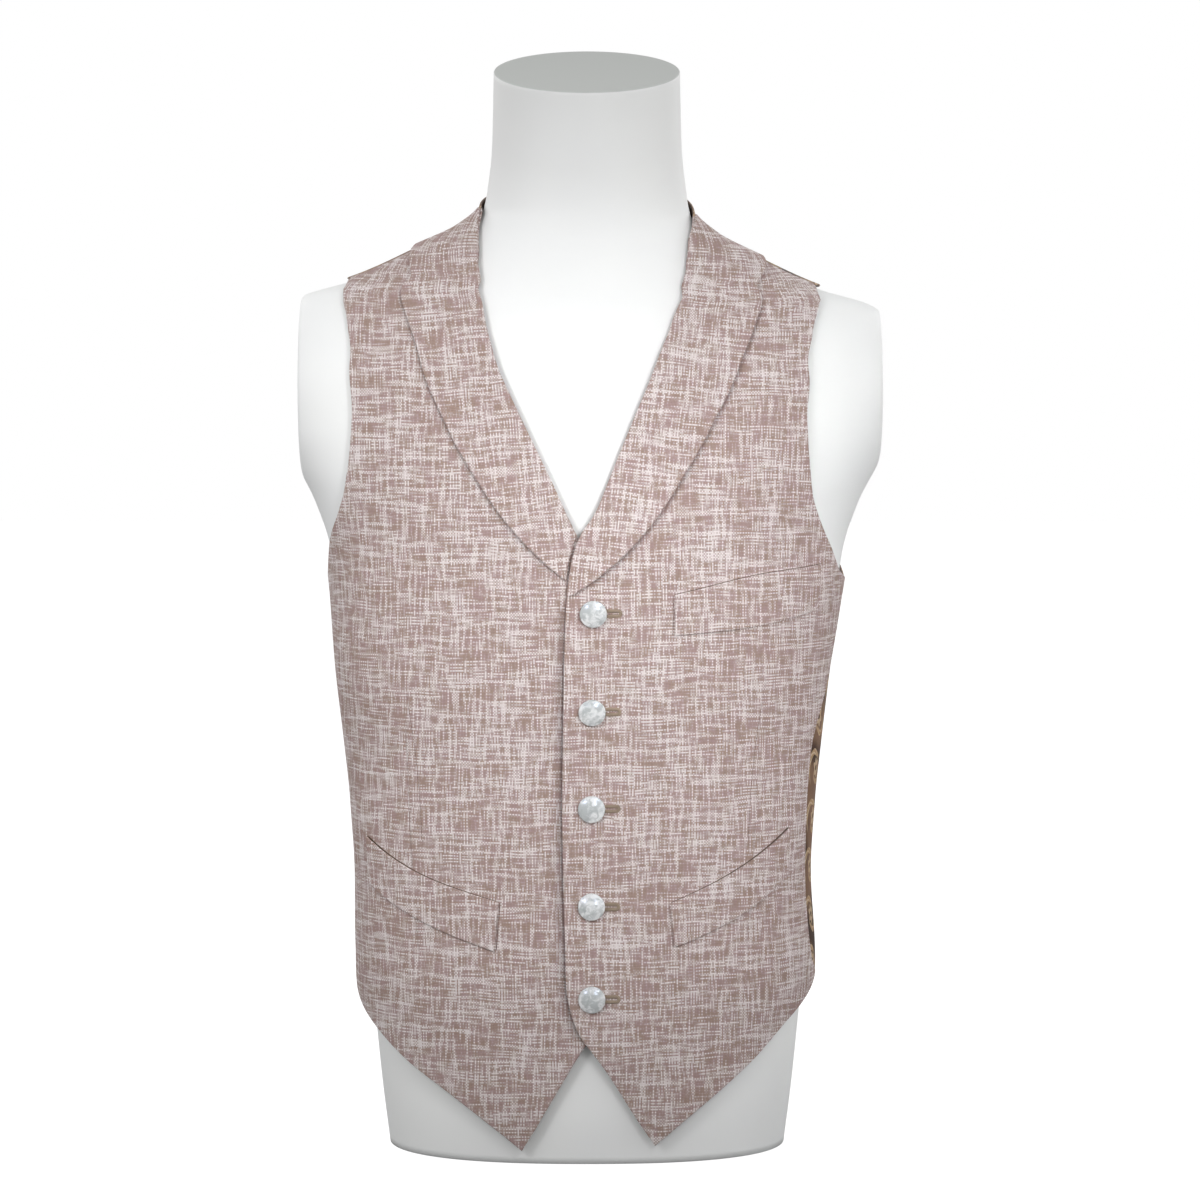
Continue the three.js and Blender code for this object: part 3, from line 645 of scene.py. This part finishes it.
def cloth_shell(name, turn, height, inner, thickness, materials, roll=1.3, grain=None, shade=None):
    """A closed shell on a grid: its two faces part from a shared edge along a quarter round.

    The faces stand at the middle of the wall plus and minus half its thickness times
    sqrt(1 - (1 - d / roll) squared), where d is the distance from the nearest edge.
    """
    middle = cloth_point(turn, height, inner + thickness / 2)
    distance = np.clip(lengths_from_edges(middle) / roll, 0, 1)
    half = thickness / 2 * np.sqrt(np.clip(1 - (1 - distance) ** 2, 0, 1))
    away = outward(turn, height)
    outer_face = middle + away * half[..., None]
    inner_face = middle - away * half[..., None]
    rows, cols = turn.shape
    number = np.arange(rows * cols).reshape(rows, cols)
    inside = np.zeros((rows, cols), bool)
    inside[1:-1, 1:-1] = True
    inner_number = number.copy()
    inner_number[inside] = rows * cols + np.arange(inside.sum())
    quads = []
    for grid, order in ((number, (0, 1, 2, 3)), (inner_number, (0, 3, 2, 1))):
        corners = [grid[:-1, :-1], grid[:-1, 1:], grid[1:, 1:], grid[1:, :-1]]
        quads.append(np.stack([corners[k] for k in order], -1).reshape(-1, 4))
    faces = np.concatenate(quads)
    if turn[0, -1] + turn[-1, -1] < turn[0, 0] + turn[-1, 0]:
        faces = faces[:, ::-1]
    points = np.concatenate([outer_face.reshape(-1, 3), inner_face[inside]])
    slots = np.repeat([0, len(materials) - 1], len(faces) // 2)
    shell = mesh_object(name, points, faces, materials, face_slots=slots)
    if grain is None:
        grain = np.stack([grain_width(turn, height), grain_height(height)], -1)
    grain = np.concatenate([grain.reshape(-1, 2), grain[inside]]) * MM
    corner = np.empty(len(shell.data.loops), np.int32)
    shell.data.loops.foreach_get("vertex_index", corner)
    shell.data.uv_layers.new(name="grain").data.foreach_set("uv", grain[corner].ravel())
    if shade is not None:
        shade = np.concatenate([shade.ravel(), np.zeros(inside.sum())])
        shell.data.attributes.new("shade", "FLOAT", "POINT").data.foreach_set("value", shade)
    return shell


def cut_area(turn, height):
    """The flat area of a piece in square metres, from the grid of its middle."""
    points = cloth_point(turn, height, np.zeros_like(turn)) * MM
    across, up = np.diff(points, axis=1)[:-1], np.diff(points, axis=0)[:, :-1]
    return float(np.linalg.norm(np.cross(across, up), axis=2).sum())


def declare(shell, node_name, area):
    """Attaches a sheet of cloth to the root body and hides the part it stands for."""
    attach(shell, "root")
    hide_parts(node_name)


def dart(turn_top, height_top, turn_low, height_low):
    """A dart's line in the front's map: where it starts and ends along and across."""
    ends = [(turn_low, height_low), (turn_top, height_top)]
    across = [float(grain_width(np.array(t, float), np.array(float(h)))) * MM for t, h in ends]
    along = [float(grain_height(np.array(float(h)))) * MM for _, h in ends]
    return along[0], along[1], across[0], across[1]


# How far the left front's edge flares out, in millimetres, and over what turn beside it.
EDGE_FLARE = 1.5
FLARE_REACH = 2.6
FRONT_GRID = (96, 170)


def left_front_lift(turn, height):
    """The left front's own edge stands off the right front by a little more than the rest of the overlap."""
    beside = (turn - curve(LEFT_EDGE, 1, key=2)(height)) / FLARE_REACH
    between = smoothstep(60, 110, height) * (1 - smoothstep(350, 392, height))
    return overlap_lift(turn, height) + EDGE_FLARE * np.exp(-(beside**2)) * between


SIDE_GAP_TURN = 0.05
SHOULDER_GAP_TURN = 0.19


SHADE_FADE = 12


def soft_shade(turn, height, edges):
    """How much painted shade darkens the cloth's colour beside raised edges, each a path with a width in
    millimetres and a depth.

    The shade is the depth times exp(-(d / width) squared), where d is the distance from the path, taken level
    and made shorter by the path's slope. It fades at both ends of the path.
    """
    shade = np.zeros_like(turn)
    for path, width, depth in edges:
        level, aside_of_path = path[:, 1], grain_width(path[:, 0], path[:, 1])
        aside = grain_width(turn, height) - np.interp(height, level, aside_of_path)
        slope = np.interp(height, level, np.gradient(aside_of_path, level))
        above = smoothstep(level[0], level[0] + SHADE_FADE, height)
        below = 1 - smoothstep(level[-1] - SHADE_FADE, level[-1], height)
        near = np.exp(-(aside**2) / (1 + slope**2) / width**2)
        shade = np.maximum(shade, depth * above * below * near)
    return shade


def front_piece(name, node_name, sign, tables, lift, material, edges):
    edge, side, armhole, hem, shoulder = tables
    inside = patch(route(edge), cornered(route(side), BREAK, route(armhole)), route(hem), route(shoulder))
    u, v = np.meshgrid(edge_steps(FRONT_GRID[0], 190, 1.3), edge_steps(FRONT_GRID[1], 640, 1.3))
    place = inside(u, v)
    shoulder_gap = SHOULDER_GAP_TURN * smoothstep(0.97, 1.0, v)
    turn = sign * (place[..., 0] - np.maximum(SIDE_GAP_TURN * u, shoulder_gap))
    height = place[..., 1]
    walls = [material, lining_material]
    shade = soft_shade(turn, height, edges)
    shell = cloth_shell(name, turn, height, lift(turn, height), FRONT_WALL, walls, shade=shade)
    declare(shell, node_name, cut_area(turn, height))


left_suiting = suiting("suiting_left", [dart(42.4, 336, 42.0, 150)])
right_suiting = suiting("suiting_right", [dart(-44, 330, -44, 150)])
LEFT_TABLES = (LEFT_EDGE, LEFT_SIDE, LEFT_ARMHOLE, LEFT_HEM, LEFT_SHOULDER)
RIGHT_TABLES = (RIGHT_EDGE, RIGHT_SIDE, RIGHT_ARMHOLE, RIGHT_HEM, RIGHT_SHOULDER)
# The lapels' outer edges, from the break up to the shoulder.
LEFT_LAPEL_EDGE = [
    [0, -1.4, 405], [0.07, 1.7, 418], [0.165, 6.1, 435], [0.3, 11.8, 467], [0.42, 15.6, 498], [0.56, 19, 533],
    [0.71, 24.5, 574], [0.85, 35.5, 610], [0.94, 57, 627], [1, 75, 636],
]
RIGHT_LAPEL_EDGE = [
    [0, 3, 416], [0.07, 6, 426], [0.165, 10, 442], [0.3, 15, 470], [0.42, 18.8, 500], [0.56, 22.3, 535],
    [0.71, 27, 574], [0.85, 38, 610], [0.94, 58, 628], [1, 76, 638],
]
lapel_run = np.linspace(0, 0.85, 200)
left_edge_path = route(LEFT_EDGE)(np.linspace(0.12, BREAK, 200))
left_lapel_path = route(LEFT_LAPEL_EDGE)(lapel_run)
right_lapel_path = route(RIGHT_LAPEL_EDGE)(lapel_run) * [-1, 1]
# Painted shadows on the fronts beside the lapels' outer edges and beside the left front's edge.
left_shades = [(left_lapel_path, 3.0, 0.3)]
right_shades = [(left_edge_path, 5.0, 0.42), (right_lapel_path, 2.6, 0.22)]
front_piece("front_left_cloth", "front_left", 1, LEFT_TABLES, left_front_lift, left_suiting, left_shades)
front_piece("front_right_cloth", "front_right", -1, RIGHT_TABLES, no_lift, right_suiting, right_shades)

# Lapels
# A shawl lapel on each front: the facing turned out along the roll line, pressed flat at its outer edge, and
# sewn in at the shoulder seam. It is cut on the front's grain, so its threads lean where it is turned.
LAPEL_WALL = 2.2
LAPEL_LIFT = 0.35
LAPEL_FLARE = 0.8
LAPEL_LEAN = 6
LAPEL_CUT = (37.0, 11.0)
RIGHT_LAPEL_START = 0.585


def left_lapel_inner(v):
    return route(LEFT_EDGE)(BREAK + (1 - BREAK) * v)


def right_lapel_inner(v):
    """The right lapel's inner edge stops beside the left front where that lies over it."""
    place = route(RIGHT_EDGE)(RIGHT_LAPEL_START + (1 - RIGHT_LAPEL_START) * v)
    beside = 0.4 - curve(LEFT_EDGE, 1, key=2)(place[..., 1])
    return np.stack([np.maximum(place[..., 0], beside), place[..., 1]], -1)


def lapel_piece(name, node_name, sign, inner_edge, outer_rows, lift, material, lean):
    u, v = np.meshgrid(edge_steps(44, 45, 1.6), edge_steps(150, 300, 1.6))
    from_edge, to_edge = inner_edge(v), route(outer_rows)(v)
    place = from_edge * (1 - u[..., None]) + to_edge * u[..., None]
    turn, height = sign * place[..., 0], place[..., 1]
    rest = lift(turn, height) + FRONT_WALL + LAPEL_LIFT + LAPEL_FLARE * u**3
    flat = np.stack([grain_width(turn, height), grain_height(height)], -1)
    cos, sin = np.cos(np.radians(lean)), np.sin(np.radians(lean))
    grain = np.stack([flat[..., 0] * cos - flat[..., 1] * sin, flat[..., 0] * sin + flat[..., 1] * cos], -1)
    grain = grain + [LAPEL_CUT[0] * sign, LAPEL_CUT[1]]
    shell = cloth_shell(name, turn, height, rest, LAPEL_WALL, [material], roll=1.6, grain=grain)
    front_name = "front" + node_name[5:] + "_cloth"
    declare(shell, node_name, cut_area(turn, height))


lapel_suiting = suiting("suiting_lapel")
for name, sign, inner_edge, outer_rows, lift in (
    ("lapel_left", 1, left_lapel_inner, LEFT_LAPEL_EDGE, overlap_lift),
    ("lapel_right", -1, right_lapel_inner, RIGHT_LAPEL_EDGE, no_lift),
):
    lapel_piece(name + "_cloth", name, sign, inner_edge, outer_rows, lift, lapel_suiting, sign * LAPEL_LEAN)

# Pocket welts
# A doubled band of the suiting stands up from each pocket's mouth, matched to the front's threads. Its lower
# edge is seamed and its ends are felled down.
WELT_WALL = 1.5
WELT_LIFT = 0.3
# Each row: how far along the welt, then the turn and height of its upper edge, then those of its lower edge.
BREAST_WELT = [[0, 15.2, 404, 16, 376], [0.5, 36, 417, 34, 380.5], [1, 59.6, 423, 59.2, 391]]
HIP_WELT_LEFT = [[0, 18.3, 185, 19.5, 154], [0.5, 38.5, 208, 38.8, 174], [1, 60, 235, 60, 201]]
HIP_WELT_RIGHT = [[0, 19.4, 186, 20.3, 151], [0.5, 42.5, 204, 42, 170], [1, 67, 228, 67, 194]]
WELT_TABLES = {
    "breast_welt": (1, overlap_lift, BREAST_WELT),
    "hip_welt_left": (1, overlap_lift, HIP_WELT_LEFT),
    "hip_welt_right": (-1, no_lift, HIP_WELT_RIGHT),
}
for node_name, (sign, lift, rows) in WELT_TABLES.items():
    u, v = np.meshgrid(edge_steps(90, 100, 1.0), edge_steps(30, 30, 1.0))
    top = np.stack([curve(rows, 1)(u), curve(rows, 2)(u)], -1)
    bottom = np.stack([curve(rows, 3)(u), curve(rows, 4)(u)], -1)
    place = bottom * (1 - v[..., None]) + top * v[..., None]
    turn, height = sign * place[..., 0], place[..., 1]
    rest = lift(turn, height) + FRONT_WALL + WELT_LIFT
    grain = np.stack([grain_width(turn, height) + 0.4, grain_height(height) + 2.0], -1)
    side_cloth = "front_left_cloth" if sign > 0 else "front_right_cloth"
    name = node_name + "_cloth"
    shell = cloth_shell(name, turn, height, rest, WELT_WALL, [lapel_suiting], roll=1.0, grain=grain)
    declare(shell, node_name, cut_area(turn, height))

# Seam shadow lines
# Painted shadow: thread-dark strips along the shadowed lines where a welt is seamed to its front and felled
# at its ends, and at the open mouth above it, which shows the dark pocketing, a strip in the lining's colour
# that also paints the shade of the gap. Each is a low strip half sunk in the cloth.
seam_shadow_material, seam_tree, seam_shader, _out = new_material("seam_shadow_line")
seam_place = node(seam_tree, "ShaderNodeTexCoord", {}, {}, output=3)
seam_tone = noise(seam_tree, seam_place, 700.0, 2.0)
# Painted shadow: the seams' dark colour, with a little noise like thread.
seam_shadow_colour = mix_colour(seam_tree, seam_tone.ramp(0.42, 0.58), linear(88, 68, 62), linear(138, 114, 107))
seam_tree.links.new(seam_shadow_colour.socket, seam_shader.inputs["Base Color"])
seam_shader.inputs["Roughness"].default_value = 0.95
seam_shader.inputs["Specular IOR Level"].default_value = 0.1
SEAM_HEIGHT = 0.16
SEAM_SIDES = 8


def seam_shadow_line(name, turn, height, width, lift, material):
    """A strip with an elliptic section along a path on a front, as wide as its array of widths says."""
    centre = cloth_point(turn, height, lift(turn, height) + FRONT_WALL)
    away = outward(turn, height)
    along = np.gradient(centre, axis=0)
    sideways = np.cross(along, away)
    sideways /= np.linalg.norm(sideways, axis=1, keepdims=True)
    angle = np.linspace(0, 2 * np.pi, SEAM_SIDES, endpoint=False)
    across = np.cos(angle)[None, :, None] * sideways[:, None] * (width / 2)[:, None, None]
    up = np.sin(angle)[None, :, None] * away[:, None] * SEAM_HEIGHT
    rings_of_points = centre[:, None] + across + up
    faces = ring_faces(len(turn), SEAM_SIDES)[:, ::-1]
    first, last = np.arange(SEAM_SIDES), np.arange(SEAM_SIDES) + (len(turn) - 1) * SEAM_SIDES
    starts = range(1, SEAM_SIDES - 1, 2)
    caps = [[first[0], first[k], first[k + 1], first[k + 2]] for k in starts]
    caps += [[last[0], last[k + 2], last[k + 1], last[k]] for k in starts]
    faces = np.concatenate([faces, caps])
    strip = mesh_object(name, rings_of_points.reshape(-1, 3), faces, [material])
    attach(strip, "root")


# Widths of the lines round each welt: its mouth at the inner and outer end, its seam, and its two ends.
LINE_WIDTHS = {
    "breast_welt": (0.55, 0.5, 0.5, 0.6, 0.45),
    "hip_welt_left": (0.45, 1.5, 0.22, 0.15, 0.15),
    "hip_welt_right": (0.45, 1.3, 0.5, 0.55, 0.2),
}
for node_name, (sign, lift, rows) in WELT_TABLES.items():
    inner_mouth, outer_mouth, seam_width, inner_width, outer_width = LINE_WIDTHS[node_name]
    run = np.linspace(0, 1, 90)
    taper = np.clip(np.minimum(run, 1 - run) / 0.02, 0.1, 1)
    top_turn, top_height = curve(rows, 1), curve(rows, 2)
    low_turn, low_height = curve(rows, 3), curve(rows, 4)
    mouth = inner_mouth + (outer_mouth - inner_mouth) * run**1.5
    mouth_height = top_height(run) + 0.3
    seam_shadow_line(node_name + "_mouth", sign * top_turn(run), mouth_height, mouth * taper, lift, lining_material)
    seam = seam_width * taper
    seam_shadow_line(node_name + "_seam", sign * low_turn(run), low_height(run) - 0.2, seam, lift, seam_shadow_material)
    for end_name, at_end, past, width in (
        ("inner", 0.0, -0.35, inner_width),
        ("outer", 1.0, 0.35, outer_width),
    ):
        low = np.array([low_turn(at_end), low_height(at_end)])
        high = np.array([top_turn(at_end), top_height(at_end)])
        line = low + run[:, None] * (high - low)
        end_turn = sign * (line[:, 0] + past)
        seam_shadow_line(node_name + "_" + end_name, end_turn, line[:, 1], width * taper, lift, seam_shadow_material)

# Painted shadow of each dart's seam: a thin dark strip along the dart.
DART_TABLE = [[0, 42.8, 345], [0.3, 42.4, 310], [0.6, 42.2, 270], [1, 42.0, 222]]
for side_name, sign, lift in (("left", 1, overlap_lift), ("right", -1, no_lift)):
    run = np.linspace(0, 1, 120)
    dart_turn, dart_height = curve(DART_TABLE, 1)(run), curve(DART_TABLE, 2)(run)
    fine = 0.3 * np.clip(np.minimum(run / 0.2, (1 - run) / 0.05), 0.1, 1)
    seam_shadow_line("dart_" + side_name, sign * dart_turn, dart_height, fine, lift, seam_shadow_material)

# Back
# Two halves of a patterned satin, joined at the centre seam and lined, from the nape to a level hem. The
# satin shows as a narrow edge along the shoulders and behind the wearer's left side seam.
NAPE = 0.86
CENTRE_BACK = [[0, 180, 116], [BREAK, 180, 408], [NAPE, 180, 688]]
BACK_NECK = [[NAPE, 180, 688], [0.9, 150, 687], [0.94, 118, 684], [0.97, 98, 678]]
BACK_ARMHOLE = [
    [0.6, 99, 417], [0.64, 109, 432], [0.68, 118, 452], [0.72, 126, 474], [0.76, 132, 500], [0.8, 136, 528],
    [0.85, 138, 556], [0.89, 137, 580], [0.93, 131, 605.5], [0.965, 115, 617],
]
SATIN_GROUND = linear(128, 98, 78)
SATIN_GOLD = linear(176, 146, 112)
SATIN_CREAM = linear(208, 188, 162)
SATIN_DARK = linear(66, 46, 36)


def satin():
    """Scrolls and round flowers in gold and cream, set in a half-drop repeat on a brown ground."""
    material, tree, shader, _ = new_material("back_satin")
    grain = node(tree, "ShaderNodeUVMap", {"uv_map": "grain"}, {})
    swirl = noise(tree, grain, 26.0, 1.0, 0.5, "2D")
    parts = tree.nodes.new("ShaderNodeSeparateXYZ")
    tree.links.new(grain.socket, parts.inputs[0])
    u, v = Value(tree, parts.outputs[0]), Value(tree, parts.outputs[1])
    repeat_u, repeat_v = 0.028, 0.036
    column = (u * (1 / repeat_u)).floor()
    x = (u * (1 / repeat_u)).fract() - 0.5
    y = (v * (1 / repeat_v) + column * 0.5).fract() - 0.5
    angle = y.math("ARCTAN2", x)
    reach = (x * x + y * y).math("SQRT")
    flower = (reach - ((angle * 6.0).sine() * 0.035 + 0.17)).ramp(0.014, -0.014)
    heart = (reach - 0.06).ramp(0.012, -0.012)
    petal_line = ((angle * 6.0).sine().size() * 0.5 + 0.5) * flower
    arms = ((angle * 2.0 + reach * 17.0).sine() - 0.45).ramp(-0.1, 0.2)
    scroll = arms * (reach - 0.36).size().ramp(0.17, 0.1)
    vein = ((angle * 14.0 + reach * 60.0).sine()).ramp(0.2, 0.7)
    colour = mix_colour(tree, swirl.ramp(0.45, 0.68), SATIN_GROUND, SATIN_DARK)
    colour = mix_colour(tree, scroll, colour, SATIN_GOLD)
    colour = mix_colour(tree, scroll * vein * 0.8, colour, SATIN_CREAM)
    colour = mix_colour(tree, flower, colour, SATIN_CREAM)
    colour = mix_colour(tree, petal_line * 0.55, colour, SATIN_GOLD)
    colour = mix_colour(tree, heart, colour, SATIN_DARK)
    tree.links.new(colour.socket, shader.inputs["Base Color"])
    figure = scroll.most(flower)
    tree.links.new((figure * 0.14 + 0.5).socket, shader.inputs["Roughness"])
    twill = ((u + v) * 9000.0).sine()
    tree.links.new(bump(tree, figure * 1.0 + twill * 0.15, 0.00012, 0.6).socket, shader.inputs["Normal"])
    shader.inputs["Specular IOR Level"].default_value = 0.12
    return material


back_satin = satin()
for name, sign, side, shoulder in (
    ("back_left", 1, LEFT_SIDE, LEFT_SHOULDER),
    ("back_right", -1, RIGHT_SIDE, RIGHT_SHOULDER),
):
    neck = route(BACK_NECK + [[1] + shoulder[0][1:]])
    armhole = route([side[-1]] + BACK_ARMHOLE + [[1] + shoulder[-1][1:]])
    side_foot, nape_foot = np.array(side[0][1:]), np.array(CENTRE_BACK[0][1:])

    def back_hem(u):
        uu = np.asarray(u)
        turn_part = nape_foot[0] + uu * (side_foot[0] - nape_foot[0])
        return np.stack([turn_part, nape_foot[1] + uu * uu * (side_foot[1] - nape_foot[1])], -1)

    centre_side = cornered(route(CENTRE_BACK), NAPE, neck)
    outer_side = cornered(route(side), BREAK, armhole)
    inside = patch(centre_side, outer_side, back_hem, route(shoulder))
    u, v = np.meshgrid(edge_steps(84, 180, 1.0), edge_steps(150, 560, 1.0))
    place = inside(u, v)
    gap = SIDE_GAP_TURN * (2 * u - 1)
    gap = gap + (SHOULDER_GAP_TURN - gap) * smoothstep(0.97, 1.0, v)
    turn, height = sign * (place[..., 0] + gap), place[..., 1]
    rise = np.linalg.norm(np.diff(cloth_point(turn, height, np.zeros_like(turn)), axis=0), axis=2)
    run_up = height[:1] + np.concatenate([np.zeros_like(height[:1]), np.cumsum(rise, 0)])
    back_grain = np.stack([sign * (560.0 - grain_width(np.abs(turn), height)), run_up], -1)
    walls = [back_satin, lining_material]
    on_form = np.zeros_like(turn)
    shell = cloth_shell(name + "_cloth", turn, height, on_form, BACK_WALL, walls, 1.0, back_grain)
    declare(shell, name, cut_area(turn, height))

# Buttons
# Five shank buttons of mother-of-pearl, turned to a low dome with a narrow rim, sewn down the front's edge
# through worked buttonholes of olive-beige twist, which run out from each button to the wearer's left.
BUTTON_HEIGHTS = [392, 324, 254, 183.5, 120]
BUTTON_TURN = 0.7
BUTTON_GAP = 0.3
BUTTON_PROFILE = [
    [0.0, 0.0], [2.3, 0.0], [2.5, 0.3], [2.5, 0.9], [3.2, 1.15], [8.2, 1.25], [9.1, 1.6], [9.5, 2.2],
    [9.4, 2.8], [9.0, 3.2], [8.5, 3.3], [8.1, 3.35], [7.4, 3.75], [6.2, 4.3], [4.6, 4.8], [2.6, 5.05],
    [0.0, 5.1],
]
pearl_material, pearl_tree, pearl_shader, _out = new_material("pearl")
pearl_place = node(pearl_tree, "ShaderNodeTexCoord", {}, {}, output=3)
pearl_bend = noise(pearl_tree, pearl_place, 130.0, 2.0)
bent_place = {0: pearl_bend, 1: (0.02, 0.02, 0.02), 2: pearl_place}
pearl_offset = node(pearl_tree, "ShaderNodeVectorMath", {"operation": "MULTIPLY_ADD"}, bent_place)
pearl_cloud = noise(pearl_tree, pearl_offset, 90.0, 3.0, 0.6)
pearl_line = noise(pearl_tree, pearl_offset, 240.0, 3.0, 0.5)
PEARL_DEEP = linear(186, 190, 190)
PEARL_PALE = linear(230, 231, 231)
pearl_colour = mix_colour(pearl_tree, pearl_cloud.ramp(0.4, 0.6), PEARL_DEEP, PEARL_PALE)
pearl_colour = mix_colour(pearl_tree, pearl_line.ramp(0.5, 0.66) * 0.4, pearl_colour, linear(162, 167, 165))
pearl_tree.links.new(pearl_colour.socket, pearl_shader.inputs["Base Color"])
pearl_tree.links.new((pearl_cloud * 0.2 + 0.1).socket, pearl_shader.inputs["Roughness"])
pearl_shader.inputs["Coat Weight"].default_value = 0.6
pearl_shader.inputs["Coat Roughness"].default_value = 0.08
pearl_shader.inputs["Thin Film Thickness"].default_value = 320.0
pearl_shader.inputs["Thin Film IOR"].default_value = 1.4

twist_material, twist_tree, twist_shader, _out = new_material("buttonhole_twist")
twist_grain = node(twist_tree, "ShaderNodeUVMap", {"uv_map": "grain"}, {})
twist_parts = twist_tree.nodes.new("ShaderNodeSeparateXYZ")
twist_tree.links.new(twist_grain.socket, twist_parts.inputs[0])
twist_run = Value(twist_tree, twist_parts.outputs[0])
stitch = (twist_run * (2 * np.pi / 0.0007)).sine()
twist_colour = mix_colour(twist_tree, stitch.ramp(-0.6, 0.6), linear(142, 124, 106), linear(186, 167, 147))
twist_tree.links.new(twist_colour.socket, twist_shader.inputs["Base Color"])
twist_tree.links.new(bump(twist_tree, stitch, 0.0002, 0.8).socket, twist_shader.inputs["Normal"])
twist_shader.inputs["Roughness"].default_value = 0.6

# The buttonhole's worked edge: where it starts and its length, the loop's half width, and the cord's size.
HOLE_START = 6.0
HOLE_LENGTH = 15.6
HOLE_HALF = 1.8
HOLE_ROUND = 1.25
HOLE_FLAT = 0.55
HOLE_LIFT = 0.25
BUTTON_SIDES = 72


def tangent_frame(turn, height):
    """Across, up and outward unit directions of the cloth at one place."""
    away = outward(np.array(turn, float), np.array(height, float))
    across = np.cross([0.0, 0.0, 1.0], away)
    across = -across / np.linalg.norm(across) * np.sign(np.dot(across, [-1.0, 0.0, 0.0]))
    return across, np.cross(away, across), away


for index, height in enumerate(BUTTON_HEIGHTS, 1):
    across, up, away = tangent_frame(BUTTON_TURN, height)
    if up[2] < 0:
        up = -up
    lift_here = overlap_lift(np.array(BUTTON_TURN), np.array(float(height)))
    face = cloth_point(np.array(BUTTON_TURN), np.array(float(height)), lift_here + FRONT_WALL)
    seat = face + away * BUTTON_GAP
    profile = np.array(BUTTON_PROFILE)[1:-1]
    angles = np.linspace(0, 2 * np.pi, BUTTON_SIDES, endpoint=False)
    ring = np.cos(angles)[:, None] * across + np.sin(angles)[:, None] * up
    points = seat + profile[:, None, :1] * ring + profile[:, None, 1:] * away
    poles = np.array([seat, seat + away * BUTTON_PROFILE[-1][1]])
    count = len(profile)
    first_pole = count * BUTTON_SIDES
    k = np.arange(BUTTON_SIDES)
    k_next = (k + 1) % BUTTON_SIDES
    quads = ring_faces(count, BUTTON_SIDES).tolist()
    quads += np.stack([k_next, k, np.full_like(k, first_pole)], 1).tolist()
    last = (count - 1) * BUTTON_SIDES
    quads += np.stack([last + k, last + k_next, np.full_like(k, first_pole + 1)], 1).tolist()
    button_mesh = bpy.data.meshes.new("pearl_button_%d" % index)
    button_mesh.from_pydata((np.concatenate([points.reshape(-1, 3), poles]) * MM).tolist(), [], quads)
    button_mesh.update()
    button_mesh.polygons.foreach_set("use_smooth", np.full(len(button_mesh.polygons), True))
    button_mesh.materials.append(pearl_material)
    pearl_button = bpy.data.objects.new("pearl_button_%d" % index, button_mesh)
    bpy.context.scene.collection.objects.link(pearl_button)
    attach(pearl_button, "root")
    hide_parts("button_%d" % index)

    # The worked edge of the hole: a round cord of stitches along a long loop that lies on the cloth.
    run = np.linspace(0, 1, 120, endpoint=False)
    straight = HOLE_LENGTH - 2 * HOLE_HALF
    loop = 2 * straight + 2 * np.pi * HOLE_HALF
    at = run * loop
    arc = np.pi * HOLE_HALF
    a1 = np.clip(at, 0, straight)
    a2 = np.clip(at - straight, 0, arc) / HOLE_HALF
    a3 = np.clip(at - straight - arc, 0, straight)
    a4 = np.clip(at - 2 * straight - arc, 0, arc) / HOLE_HALF
    local_x = a1 - a3 + HOLE_HALF * (np.sin(a2) - np.sin(a4))
    local_y = HOLE_HALF * np.where(at <= straight + arc, -np.cos(a2), np.cos(a4))
    span = grain_width(np.array(5.0), np.array(float(height))) / 5.0
    loop_turn = BUTTON_TURN + (HOLE_START + local_x) / float(span)
    loop_height = height + local_y
    loop_lift = overlap_lift(loop_turn, loop_height) + FRONT_WALL + HOLE_LIFT
    centre_line = cloth_point(loop_turn, loop_height, loop_lift)
    loop_away = outward(loop_turn, loop_height)
    tangent = np.roll(centre_line, -1, 0) - np.roll(centre_line, 1, 0)
    tangent /= np.linalg.norm(tangent, axis=1, keepdims=True)
    sideways = np.cross(tangent, loop_away)
    turn_round = np.linspace(0, 2 * np.pi, 10, endpoint=False)
    wide = np.cos(turn_round)[None, :, None] * sideways[:, None]
    high = HOLE_FLAT * np.sin(turn_round)[None, :, None] * loop_away[:, None]
    tube = centre_line[:, None] + HOLE_ROUND * (wide + high)
    rows_n, cols_n = tube.shape[:2]
    jj, ii = np.meshgrid(np.arange(rows_n), np.arange(cols_n), indexing="ij")
    j_next, i_next = (jj + 1) % rows_n, (ii + 1) % cols_n
    tube_faces = np.stack(
        [jj * cols_n + ii, jj * cols_n + i_next, j_next * cols_n + i_next, j_next * cols_n + ii], -1
    ).reshape(-1, 4)
    worked_hole = mesh_object("buttonhole_%d" % index, tube.reshape(-1, 3), tube_faces, [twist_material])
    run_uv = np.stack([np.repeat(at, cols_n), np.tile(turn_round, rows_n)], -1) * MM
    hole_corner = np.empty(len(worked_hole.data.loops), np.int32)
    worked_hole.data.loops.foreach_get("vertex_index", hole_corner)
    worked_hole.data.uv_layers.new(name="grain").data.foreach_set("uv", run_uv[hole_corner].ravel())
    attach(worked_hole, "root")
